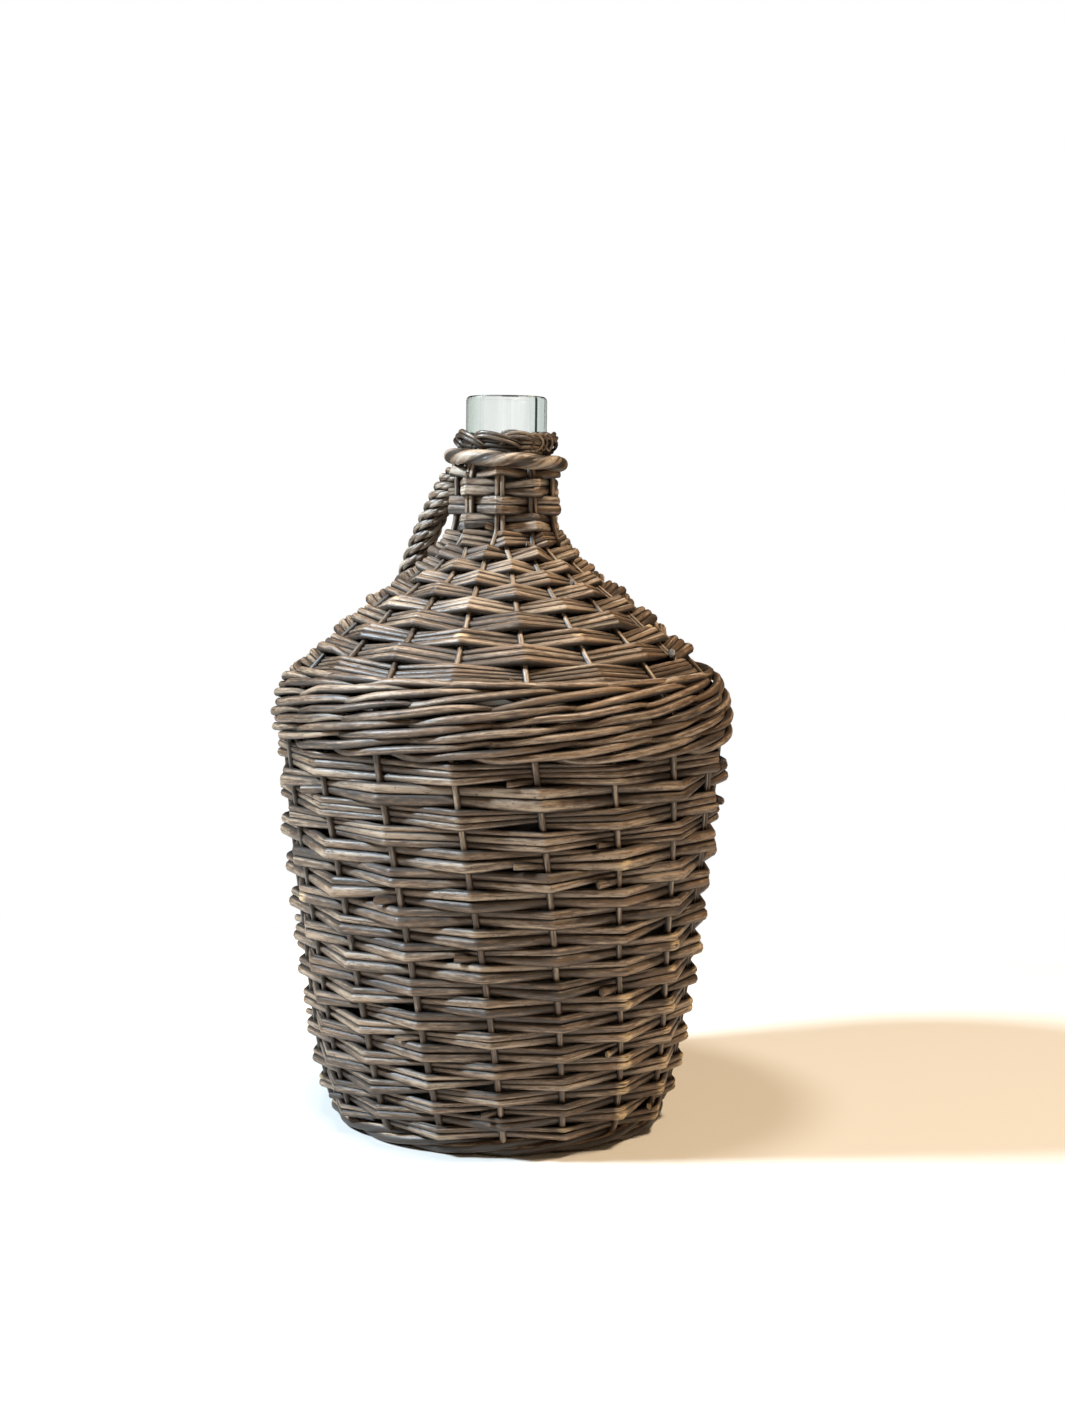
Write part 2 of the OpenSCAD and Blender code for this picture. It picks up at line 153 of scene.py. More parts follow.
# Camera, from where the photograph shows the bottle in its 1065 by 1419 frame
EYE_HEIGHT = 330 * MM
EYE_DISTANCE = 1140 * MM
PHOTO_W = 1065
PHOTO_H = 1419
FOCAL_PX = 2132
HORIZON_PX = 490
AXIS_PX = 505.5
ROLL = math.radians(0.8)
SENSOR = 36.0


# Sizes and colours that a user would change

def size(name, about, millimetres):
    return FloatProperty(name=name, description=about, default=millimetres * MM, unit="LENGTH")


def angle(name, about, degrees):
    return FloatProperty(name=name, description=about, default=math.radians(degrees), subtype="ANGLE")


def tint(name, about, colour):
    return FloatVectorProperty(name=name, description=about, subtype="COLOR", size=3, default=colour)


class WickerSizes(bpy.types.PropertyGroup):
    """Driving sizes of the woven cover"""
    bulge_d: size("Widest diameter", "Outer diameter at the shoulder wale", 245)
    neck_l: size("Neck length", "From the end of the slope to the rim", 58)
    neck_d: size("Neck diameter", "Outer diameter of the glass neck", 43.2)
    glass_gap: size("Glass gap", "Gap between the glass and the weave", 0.3)
    stake_d: size("Stake thickness", "Thickness of the upright rods", 3.8)
    rod_d: size("Rod thickness", "Thickness of the rods of the weave", 3.6)
    rod_w: size("Rod width", "Width that each rod takes along the wall", 4.2)
    weave_gap: size("Weave gap", "Gap between a stake and the rods that pass it", 0.35)
    wale_rod_d: size("Wale rod thickness", "Thickness of the rods of the shoulder wale", 4.6)
    wale_below: size("Wale below", "How far below the widest place the wale begins", 5)
    wale_above: size("Wale above", "How far above the widest place the wale ends", 30)
    foot_rod_d: size("Foot rod thickness", "Thickness of the rods under the base", 5.4)
    neck_weave_h: size("Neck weave height", "Height of the weave on the neck", 28.6)
    top_row_h: size("Top round height", "Height of the round that closes the neck weave", 2.6)
    handle_d: size("Handle thickness", "Thickness of the handle rope", 14)
    handle_top_d: size("Handle top thickness", "Thickness of the rope at the neck ring", 7.6)
    handle_az: angle("Handle direction", "Direction of the handle from the axis", 130)
    stake_n: IntProperty(
        name="Stakes", description="Count of the upright rods", default=18)
    stake_phase: angle("Stake phase", "Direction of the first stake from the front", -12)
    foot_lean: angle("Lean at the foot", "How far round the stakes lean at the foot", 14)
    collar_lean: angle("Lean at the neck", "How far round the stakes lean at the neck", -5)


class WickerLook(bpy.types.PropertyGroup):
    """Colours of the willow, the glass and the studio"""
    bark_dark: tint("Dark willow", "Weather-stained willow", (0.028, 0.018, 0.011))
    bark_mid: tint("Middle willow", "Most of the rods", (0.115, 0.068, 0.038))
    bark_light: tint("Light willow", "Worn, silvered willow", (0.33, 0.25, 0.178))
    stake_light: tint("Stake willow", "Light side of the upright rods", (0.36, 0.285, 0.21))
    glass_tint: tint("Glass tint", "Faint green of the glass", (0.98, 1.0, 0.985))
    floor: tint("Floor", "Plain pale floor", (0.67, 0.65, 0.615))


# Wall line: the curve that the stakes follow, in the upright plane through the axis

def catmull_rom(points, per_span):
    """Smooth curve through the points, as the solid model draws it."""
    pts = np.asarray(points, float)
    last = len(pts) - 1
    out = []
    for i in range(last):
        a, b, c, d = (pts[min(max(k, 0), last)] for k in (i - 1, i, i + 1, i + 2))
        for k in range(per_span):
            t = k / per_span
            out.append(b + t * (c - a) / 2 + t * t * (a - 2.5 * b + 2 * c - d / 2)
                       + t ** 3 * (1.5 * (b - c) + (d - a) / 2))
    out.append(pts[-1])
    return np.array(out)


def around_axis(radius, az, height):
    """Points at these distances from the axis, directions and heights."""
    return np.stack([radius * np.cos(az), radius * np.sin(az), height], axis=-1)


def spread(where, values):
    """Rows of values, blended at places between them."""
    steps = np.arange(len(values))
    return np.stack([np.interp(where, steps, column) for column in values.T], axis=1)


class WallLine:
    """Places on the woven wall, by length along the mid-line, height above it and direction."""

    def __init__(self, z):
        self.z = z
        self.top = CAD_BOX[1][2]
        self.bulge_z = BULGE_SHARE * self.top
        self.stake_r = z.stake_d / 2
        self.rod_r = z.rod_d / 2
        self.neck_r = z.neck_d / 2
        self.neck_stake_r = NECK_THIN_SHARE * self.stake_r
        neck_half = z.weave_gap + NECK_THIN_SHARE * (self.stake_r + z.rod_d)
        self.bulge_r = z.bulge_d / 2 - self.stake_r - z.weave_gap - z.wale_rod_d
        self.collar_r = self.neck_r + z.glass_gap + neck_half
        self.groove_r = self.neck_r + z.glass_gap + self.neck_stake_r
        self.collar_z = self.top - z.neck_l
        self.weave_top_z = self.collar_z + z.neck_weave_h / 2
        self.border_z0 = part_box("neck_border")[0][2]
        self.border_z1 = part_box("neck_border")[1][2]
        self.foot_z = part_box("foot_wale")[1][2]
        self.foot_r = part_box("foot_wale")[1][0]
        self.base_z = self.foot_z + z.weave_gap + self.stake_r
        stake_top = self.border_z0 - CLOSE_GAP
        control = [(r * self.bulge_r, self.base_z + h * (self.bulge_z - self.base_z))
                   for r, h in BODY_SHARES]
        control += [(self.collar_r + r * (self.bulge_r - self.collar_r),
                     self.bulge_z + h * (self.collar_z - self.bulge_z)) for r, h in SHOULDER_SHARES]
        control += [(self.collar_r + r * (self.groove_r - self.collar_r),
                     self.weave_top_z + h * (stake_top - self.weave_top_z))
                    for r, h in GROOVE_SHARES]
        self.line = catmull_rom(control, 8)
        steps = np.linalg.norm(np.diff(self.line, axis=0), axis=1)
        self.run = np.concatenate([[0], np.cumsum(steps)])
        self.end = self.run[-1]
        wall = self.line[:, 1] < self.bulge_z
        self.s_foot = float(np.interp(self.foot_r + CLOSE_GAP, self.line[wall, 0], self.run[wall]))
        self.s_wale0 = self.run_of(self.bulge_z - z.wale_below)
        self.s_wale1 = self.run_of(self.bulge_z + z.wale_above)
        self.s_slope1 = self.run_of(self.collar_z - z.neck_weave_h / 2)
        self.s_neck1 = self.run_of(self.weave_top_z)
        self.step = math.tau / z.stake_n
        self.pair_half = math.asin((self.neck_stake_r + z.weave_gap / 2) / self.collar_r)

    def at(self, s):
        return np.stack([np.interp(s, self.run, self.line[:, 0]),
                         np.interp(s, self.run, self.line[:, 1])], axis=-1)

    def outward(self, s):
        probe = self.rod_r
        d = self.at(np.asarray(s) + probe) - self.at(np.asarray(s) - probe)
        d = d / np.linalg.norm(d, axis=-1, keepdims=True)
        return np.stack([d[..., 1], -d[..., 0]], axis=-1)

    def run_of(self, height):
        return float(np.interp(height, np.maximum.accumulate(self.line[:, 1]), self.run))

    def thin(self, s):
        return np.interp(self.at(s)[..., 1], [self.bulge_z, self.collar_z], [1, NECK_THIN_SHARE])

    def half_wall(self, s):
        return self.z.weave_gap + self.thin(s) * (self.stake_r + self.z.rod_d)

    def place(self, s, n, az):
        """Point n outside the mid-line at run s and direction az."""
        p = self.at(s) + np.asarray(n)[..., None] * self.outward(s)
        return around_axis(p[..., 0], az, p[..., 1])

    def normal(self, s, az):
        n = self.outward(s)
        return around_axis(n[..., 0], az, n[..., 1])

    def stake_az(self, j, s):
        """Direction of stake j, which may run past the last one or lie between two."""
        low = np.floor(j)
        if np.any(low != j):
            part = np.asarray(j) - low
            return self.stake_az(low, s) * (1 - part) + self.stake_az(low + 1, s) * part
        lean = np.interp(s, [self.s_foot, self.s_wale0, self.s_neck1],
                         [self.z.foot_lean, 0, self.z.collar_lean])
        pull = np.interp(s, [self.run_of(self.collar_z - self.z.neck_weave_h), self.s_slope1],
                         [0, 1])
        to_pair = np.where(np.asarray(j) % 2 == 0, 1, -1) * pull * (self.step / 2 - self.pair_half)
        return math.radians(FRONT_AZ) + self.z.stake_phase + np.asarray(j) * self.step + lean + to_pair


# Nodes

def feed(tree, socket, value):
    """Links a socket to another, or sets its value."""
    value = value.socket if isinstance(value, Value) else value
    if isinstance(value, bpy.types.NodeSocket):
        tree.links.new(value, socket)
    else:
        socket.default_value = value


def add_node(tree, kind, inputs=(), **settings):
    made = tree.nodes.new(kind)
    for key, value in settings.items():
        setattr(made, key, value)
    for key, value in dict(inputs).items():
        feed(tree, made.inputs[key], value)
    return made


# Rods: centre-lines with a thickness and a tone, swept by one node tree

@dataclass
class Rod:
    """One willow rod: its centre-line, half thickness, facing, tone, and the painted shade where it is
    tucked in, below zero at its paler bends.
    """
    points: np.ndarray
    radius: np.ndarray
    side: np.ndarray
    tone: float
    shade_and_bend: np.ndarray


def along(points):
    return np.concatenate([[0], np.cumsum(np.linalg.norm(np.diff(points, axis=0), axis=1))])


def knotty(length, rng, amount=0.10, gap=55 * MM):
    """Small swellings of a rod at its buds, as a factor along its length."""
    run = np.asarray(length)
    factor = np.ones_like(run)
    place = rng.uniform(0, gap)
    while place < run[-1]:
        factor += rng.uniform(0.3, 1) * amount * np.exp(-((run - place) / (2.2 * MM)) ** 2)
        place += rng.uniform(0.5, 1.5) * gap
    return factor


def tapered(length, tip=0.5, run_in=60 * MM, butt=1.0):
    """Factor that thins a rod towards its end over the last stretch."""
    left = length[-1] - length
    return butt - (butt - tip) * np.clip(1 - left / run_in, 0, 1) ** 1.5


def make_rod(points, radius, rng, side=None, tone=None, shade_and_bend=None, knots=0.10):
    points = np.asarray(points, float)
    run = along(points)
    if side is None:
        side = np.tile([0.0, 0.0, 1.0], (len(points), 1))
    radius = np.broadcast_to(radius, run.shape) * knotty(run, rng, knots)
    tone = rng.uniform(0, 1) if tone is None else tone
    shade_and_bend = np.zeros(len(points)) if shade_and_bend is None else np.broadcast_to(shade_and_bend, run.shape)
    return Rod(points, radius, np.asarray(side, float), tone, shade_and_bend)


def rod_tree():
    """Node tree that sweeps centre-lines into rods with an uneven, bark-like skin."""
    tree = bpy.data.node_groups.new("Willow rods", "GeometryNodeTree")
    face = tree.interface

    def socket(name, kind, default=None, out=False):
        item = face.new_socket(name, in_out="OUTPUT" if out else "INPUT", socket_type=kind)
        if default is not None:
            item.default_value = default
        return item

    socket("Geometry", "NodeSocketGeometry", out=True)
    socket("Centre lines", "NodeSocketGeometry")
    socket("Section Points", "NodeSocketInt", 9)
    socket("Flatness", "NodeSocketFloat", 1.0)
    socket("Skin Relief", "NodeSocketFloat", 0.12)
    socket("Relief Length", "NodeSocketFloat", 14 * MM)
    socket("Willow", "NodeSocketMaterial")

    def node(kind, inputs=(), **settings):
        return add_node(tree, kind, inputs, **settings).outputs

    def attribute(name, kind="FLOAT"):
        return node("GeometryNodeInputNamedAttribute", {"Name": name}, data_type=kind)[0]

    def sums(operation, *values):
        return node("ShaderNodeMath", dict(enumerate(values)), operation=operation)[0]

    start = node("NodeGroupInput")
    curve = node("GeometryNodeMeshToCurve", {"Mesh": start["Centre lines"]})
    turned = node("GeometryNodeSetCurveNormal",
                  {"Curve": curve[0], "Normal": attribute("side", "FLOAT_VECTOR")}, mode="FREE")
    circle = node("GeometryNodeCurvePrimitiveCircle",
                  {"Resolution": start["Section Points"], "Radius": 1.0})
    ring = node("GeometryNodeStoreNamedAttribute",
                {"Geometry": circle[0], "Name": "ring", "Value": node("GeometryNodeInputPosition")[0]},
                data_type="FLOAT_VECTOR", domain="POINT")
    flat = node("ShaderNodeCombineXYZ", {"X": start["Flatness"], "Y": 1.0, "Z": 1.0})
    profile = node("GeometryNodeTransform", {"Geometry": ring[0], "Scale": flat[0]})
    swept = node("GeometryNodeCurveToMesh",
                 {"Curve": turned[0], "Profile Curve": profile[0], "Scale": attribute("thick"),
                  "Fill Caps": True})
    around = node("ShaderNodeSeparateXYZ", {"Vector": attribute("ring", "FLOAT_VECTOR")})
    lengths = sums("DIVIDE", attribute("along"), start["Relief Length"])
    offset = sums("MULTIPLY_ADD", attribute("tone"), TONE_SHIFT, lengths)
    where = node("ShaderNodeCombineXYZ", {"X": offset, "Y": around[0], "Z": around[1]})
    noise = node("ShaderNodeTexNoise", {"Vector": where[0], "Scale": 1.0, "Detail": 1.0})
    scaled = sums("MULTIPLY", sums("SUBTRACT", noise[0], 0.5), start["Skin Relief"])
    push = node("ShaderNodeVectorMath",
                {0: node("GeometryNodeInputNormal")[0],
                 "Scale": sums("MULTIPLY", scaled, attribute("thick"))}, operation="SCALE")
    moved = node("GeometryNodeSetPosition", {"Geometry": swept[0], "Offset": push[0]})
    smooth = node("GeometryNodeSetShadeSmooth", {"Geometry": moved[0], "Shade Smooth": True})
    painted = node("GeometryNodeSetMaterial", {"Geometry": smooth[0], "Material": start["Willow"]})
    real = node("GeometryNodeRealizeInstances", {"Geometry": painted[0]})
    add_node(tree, "NodeGroupOutput", {0: real[0]})
    return tree


def centre_lines(name, rods):
    """Mesh of edges that carries each rod's thickness, facing and tone."""
    edges = []
    first = 0
    for r in rods:
        n = len(r.points)
        edges += [(first + i, first + i + 1) for i in range(n - 1)]
        first += n
    mesh = bpy.data.meshes.new(name)
    mesh.from_pydata(np.concatenate([r.points for r in rods]).tolist(), edges, [])
    values = {
        "thick": [r.radius for r in rods],
        "along": [along(r.points) for r in rods],
        "tone": [np.full(len(r.points), r.tone) for r in rods],
        "shade_and_bend": [r.shade_and_bend for r in rods],
    }
    for key, parts in values.items():
        value = np.concatenate(parts).astype(np.float32)
        mesh.attributes.new(key, "FLOAT", "POINT").data.foreach_set("value", value)
    side = np.concatenate([r.side for r in rods]).astype(np.float32)
    mesh.attributes.new("side", "FLOAT_VECTOR", "POINT").data.foreach_set("vector", side.ravel())
    return mesh


def sweep_rods(name, rods, willow, flatness=1.0, sides=9, relief=0.12):
    """Turns centre-lines into one plain mesh object of rods."""
    tree = bpy.data.node_groups.get("Willow rods") or rod_tree()
    source = bpy.data.objects.new(name + "_lines", centre_lines(name, rods))
    bpy.context.collection.objects.link(source)
    modifier = source.modifiers.new("Rods", "NODES")
    modifier.node_group = tree
    ids = {item.name: item.identifier for item in tree.interface.items_tree if item.in_out == "INPUT"}
    modifier[ids["Section Points"]] = sides
    modifier[ids["Flatness"]] = flatness
    modifier[ids["Skin Relief"]] = relief
    modifier[ids["Willow"]] = willow
    depsgraph = bpy.context.evaluated_depsgraph_get()
    mesh = bpy.data.meshes.new_from_object(source.evaluated_get(depsgraph), depsgraph=depsgraph)
    mesh.name = name
    bpy.data.objects.remove(source)
    piece = bpy.data.objects.new(name, mesh)
    bpy.context.collection.objects.link(piece)
    return piece


def dress(name, rods, finish, slot, node, **sweep):
    """Sweeps rods into a piece fixed to the bottle, in place of the solid it stands for."""
    piece = sweep_rods(name, rods, materials()[finish], **sweep)
    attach(piece, BODY)
    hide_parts(node)


# Shader helpers

class Value:
    """A shader socket that arithmetic can be written on."""

    def __init__(self, paint, socket):
        self.paint = paint
        self.socket = socket

    def _math(self, operation, a, b):
        return self.paint.number("ShaderNodeMath", {0: a, 1: b}, operation=operation)

    def __add__(self, other):
        return self._math("ADD", self, other)

    def __radd__(self, other):
        return self._math("ADD", other, self)

    def __sub__(self, other):
        return self._math("SUBTRACT", self, other)

    def __rsub__(self, other):
        return self._math("SUBTRACT", other, self)

    def __mul__(self, other):
        return self._math("MULTIPLY", self, other)

    def __rmul__(self, other):
        return self._math("MULTIPLY", other, self)

    def square(self):
        return self * self

    def clamp(self):
        return self.paint.number("ShaderNodeClamp", {"Value": self})

    def between(self, low, high):
        """0 below low, 1 above high, smooth in between."""
        return self.paint.number(
            "ShaderNodeMapRange", {"Value": self, "From Min": low, "From Max": high},
            interpolation_type="SMOOTHSTEP")


class Paint:
    """Builds one material's nodes."""

    def __init__(self, name):
        self.material = bpy.data.materials.new(name)
        self.material.use_nodes = True
        self.tree = self.material.node_tree
        self.tree.nodes.clear()
        self.shader = self.tree.nodes.new("ShaderNodeBsdfPrincipled")
        self.out = self.tree.nodes.new("ShaderNodeOutputMaterial")
        self.tree.links.new(self.shader.outputs[0], self.out.inputs[0])

    def node(self, kind, inputs=(), stops=None, **settings):
        made = add_node(self.tree, kind, inputs, **settings)
        if stops:
            ramp = made.color_ramp
            while len(ramp.elements) < len(stops):
                ramp.elements.new(0.5)
            for element, (place, colour) in zip(ramp.elements, stops):
                element.position = place
                element.color = (*colour, 1)
        return made

    def number(self, kind, inputs=(), **settings):
        return Value(self, self.node(kind, inputs, **settings).outputs[0])

    def attribute(self, name):
        made = self.node("ShaderNodeAttribute", attribute_name=name)
        return Value(self, made.outputs["Fac"]), made.outputs["Vector"]

    def mix(self, factor, a, b):
        """Colour a, with b laid over it by the factor."""
        a, b = ((*c, 1) if isinstance(c, tuple) else c for c in (a, b))
        return self.node("ShaderNodeMix", {0: factor, 6: a, 7: b}, data_type="RGBA").outputs[2]

    def finish(self, **values):
        """Sets the shader's sockets, named with _ for a space."""
        for name, value in values.items():
            feed(self.tree, self.shader.inputs[name.replace("_", " ")], value)
        return self.material


def willow_material(name, dark, mid, light, rough=0.5, hollow=(0.22, 0.72)):
    """Weathered willow: grain along the rod, a tone for each rod, specks, and painted shade on the flanks
    of each rod and in the hollows.
    """
    paint = Paint(name)
    length, _ = paint.attribute("along")
    tone, _ = paint.attribute("tone")
    # Painted shade amount of each rod, below zero at its paler bends
    shade_and_bend, _ = paint.attribute("shade_and_bend")
    _, ring = paint.attribute("ring")
    round_parts = paint.node("ShaderNodeSeparateXYZ", {0: ring})
    across = [Value(paint, round_parts.outputs[i]) for i in (0, 1)]

    def noise(per_metre, per_turn, detail=3.0, shift=0.0, roughness=0.55):
        where = paint.node("ShaderNodeCombineXYZ", {
            "X": length * per_metre + tone * 83.0 + shift,
            "Y": across[0] * per_turn, "Z": across[1] * per_turn})
        return paint.number("ShaderNodeTexNoise", {
            "Vector": where.outputs[0], "Scale": 1.0, "Detail": detail, "Roughness": roughness})

    streaks = noise(26.0, 1.5, 4.0)
    grain = noise(160.0, 2.6, 3.0, 7.0)
    patches = noise(9.0, 0.5, 2.0, 19.0)
    specks = noise(650.0, 2.8, 1.0, 31.0)
    shade = (0.5 + (streaks - 0.5) * 1.9 + (patches - 0.5) * 1.4 + (grain - 0.5) * 1.5
             + (tone - 0.5) * 0.5).clamp()
    colour = paint.node("ShaderNodeValToRGB", {"Fac": shade},
                        stops=((0.08, dark), (0.48, mid), (0.95, light))).outputs[0]
    warm = noise(5.0, 0.3, 1.0, 47.0).between(0.5, 0.75) * 0.35
    colour = paint.mix(warm, colour, WARM_BARK)
    cracks = noise(70.0, 4.0, 2.0, 63.0).between(0.58, 0.68) * 0.55
    colour = paint.mix(cracks, colour, CRACK_DARK)
    # Paler colour at some outer bends
    bend = shade_and_bend.between(-0.08, -0.45) * grain.between(0.36, 0.6)
    colour = paint.mix(bend * 0.85, colour, BEND_PALE)
    speck = specks.between(0.66, 0.74) * 0.75
    colour = paint.mix(speck, colour, SPECK_DARK)
    # Painted shade: darker on the upper and lower flanks of each rod, on its inner side, and where it is
    # tucked in behind the stakes
    crevice = across[1].square().between(*hollow) + across[0].between(0.3, -0.4) * 0.6
    painted_shade = (shade_and_bend * 1.1 + crevice).clamp() * 0.97
    colour = paint.mix(painted_shade, colour, PAINTED_SHADE_DARK)
    relief = streaks * 0.5 + grain * 0.35 - speck * 0.4 - cracks * 0.4
    bump = paint.node("ShaderNodeBump", {"Strength": 0.8, "Distance": 0.5 * MM, "Height": relief})
    return paint.finish(
        Base_Color=colour, Roughness=(rough + (streaks - 0.5) * 0.3 + speck * 0.2).clamp(),
        Normal=bump.outputs[0], Specular_IOR_Level=0.6)


def glass_material(name, clear, outer_r, top_z, covered_z):
    """Clear, faintly green bottle glass with a mould seam, painted shade at its sides and under the rim,
    and dark with painted shade below the given height, where the weave covers it.
    """
    paint = Paint(name)
    place = paint.node("ShaderNodeTexCoord").outputs["Object"]
    parts = paint.node("ShaderNodeSeparateXYZ", {0: place})
    x, y, height = (Value(paint, parts.outputs[i]) for i in range(3))
    turn = paint.number("ShaderNodeMath", {0: y, 1: x}, operation="ARCTAN2")
    where = paint.node("ShaderNodeCombineXYZ", {"X": turn * 3.2, "Y": height * 4.0})
    streak = paint.number("ShaderNodeTexNoise", {"Vector": where.outputs[0], "Scale": 1.6, "Detail": 3.0})
    colour = paint.mix(streak.between(0.38, 0.66), scaled_colour(clear, 0.92), clear)
    # Painted shade: greener, darker bands down the left and right sides of the glass as the camera sees it
    aside = (x * (1 / outer_r)).square()
    colour = paint.mix(aside.between(0.40, 0.72), colour, GLASS_SIDE_SHADE)
    seam = (turn - math.radians(SEAM_AZ)).square().between(0.0030, 0.0012)
    seam = seam * (aside + (y * (1 / outer_r)).square()).between(0.7, 0.85)
    colour = paint.mix(seam, colour, GLASS_SEAM)
    # Painted shade: a dark line just under the rim
    rim = height.between(top_z - 1.3 * MM, top_z - 0.4 * MM)
    colour = paint.mix(rim * 0.7, colour, GLASS_RIM_SHADE)
    # Painted shade: dark glass below the border, where the weave covers it
    covered = height.between(covered_z, covered_z - 6 * MM)
    colour = paint.mix(covered, colour, GLASS_COVERED_SHADE)
    bump = paint.node("ShaderNodeBump", {"Strength": 0.25, "Distance": 1.0 * MM, "Height": streak})
    return paint.finish(
        Base_Color=colour, Normal=bump.outputs[0], Roughness=covered * 0.6 + 0.02, IOR=1.5,
        Transmission_Weight=1.0)


def scaled_colour(colour, share):
    return tuple(c * share for c in colour)


def materials():
    """The finishes, made once."""
    look = bpy.context.scene.wicker_look
    made = bpy.data.materials
    if not made.get("Willow rod"):
        dark, mid, light = (tuple(c) for c in (look.bark_dark, look.bark_mid, look.bark_light))
        willow_material("Willow rod", dark, mid, light)
        willow_material("Willow stake", dark, mid, tuple(look.stake_light), rough=0.45)
        willow_material("Willow rope", dark, (0.135, 0.09, 0.06), (0.40, 0.335, 0.265), rough=0.44,
                        hollow=(0.55, 0.95))
        # Painted light: a lighter copy of the willow, standing in for the brighter light on the neck's
        # rods
        willow_material("Willow neck painted light", dark, (0.16, 0.105, 0.068), (0.46, 0.385, 0.305), rough=0.42)
        willow_material("Willow border", dark, scaled_colour(mid, 0.6), scaled_colour(light, 0.65),
                        rough=0.4)
        # Painted light: a brighter copy of the willow for the foot, making up for the shade under the edge
        # of the base
        willow_material("Willow foot painted light", dark, scaled_colour(mid, 1.9), scaled_colour(light, 1.8))
        glass_material("Bottle glass", tuple(look.glass_tint),
                       bpy.context.scene.wicker_sizes.neck_d / 2, CAD_BOX[1][2],
                       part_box("neck_border")[0][2])
    return made


# Weave

def kinked(corners, share, samples):
    """Line through corners that is straight between them and turns over a share of each stretch.

    samples are places from 0 to 1 in each stretch. Returns points and their places in corners."""
    out = []
    where = []
    last = len(corners) - 1
    for i in range(last):
        before = corners[max(i - 1, 0)]
        a, b = corners[i], corners[i + 1]
        after = corners[min(i + 2, last)]
        for t in samples:
            if t < share:
                k = 0.5 + t / (2 * share)
                p0, p1, p2 = a + (before - a) * share, a, a + (b - a) * share
            elif t > 1 - share:
                k = (t - 1 + share) / (2 * share)
                p0, p1, p2 = b + (a - b) * share, b, b + (after - b) * share
            else:
                out.append(a + (b - a) * t)
                where.append(i + t)
                continue
            out.append((1 - k) ** 2 * p0 + 2 * k * (1 - k) * p1 + k * k * p2)
            where.append(i + t)
    out.append(corners[-1])
    where.append(last)
    return np.array(out), np.array(where)


def grown(k, n, grow):
    """Share of the height that the first k of n rounds fill, where each is a little higher."""
    return (k + grow * k * k / (2 * n)) / (n * (1 + grow / 2))


def single_sides(odd, n):
    """Outside and inside the stakes by turns."""
    return np.array([1 if (j + odd) % 2 == 0 else -1 for j in range(n)])


def pair_sides(odd, n):
    """Outside and inside by turns of two stakes, which draw together at the neck."""
    pairs = n // 2
    out = []
    for j in range(n):
        p = (j // 2 + pairs // 2) % pairs
        out.append(1 if (p + odd) % 2 == 0 or p == pairs - 1 else -1)
    return np.array(out)


def waver(seed, js, n, size):
    """Slow unevenness of the edge between two rounds, which comes back to itself after n stakes."""
    rng = np.random.default_rng(seed)
    total = 0
    for times in (1, 2, 3, 5):
        total = total + rng.normal(0, 1) * np.cos(times * math.tau * js / n + rng.uniform(0, math.tau))
    return size * total / 2


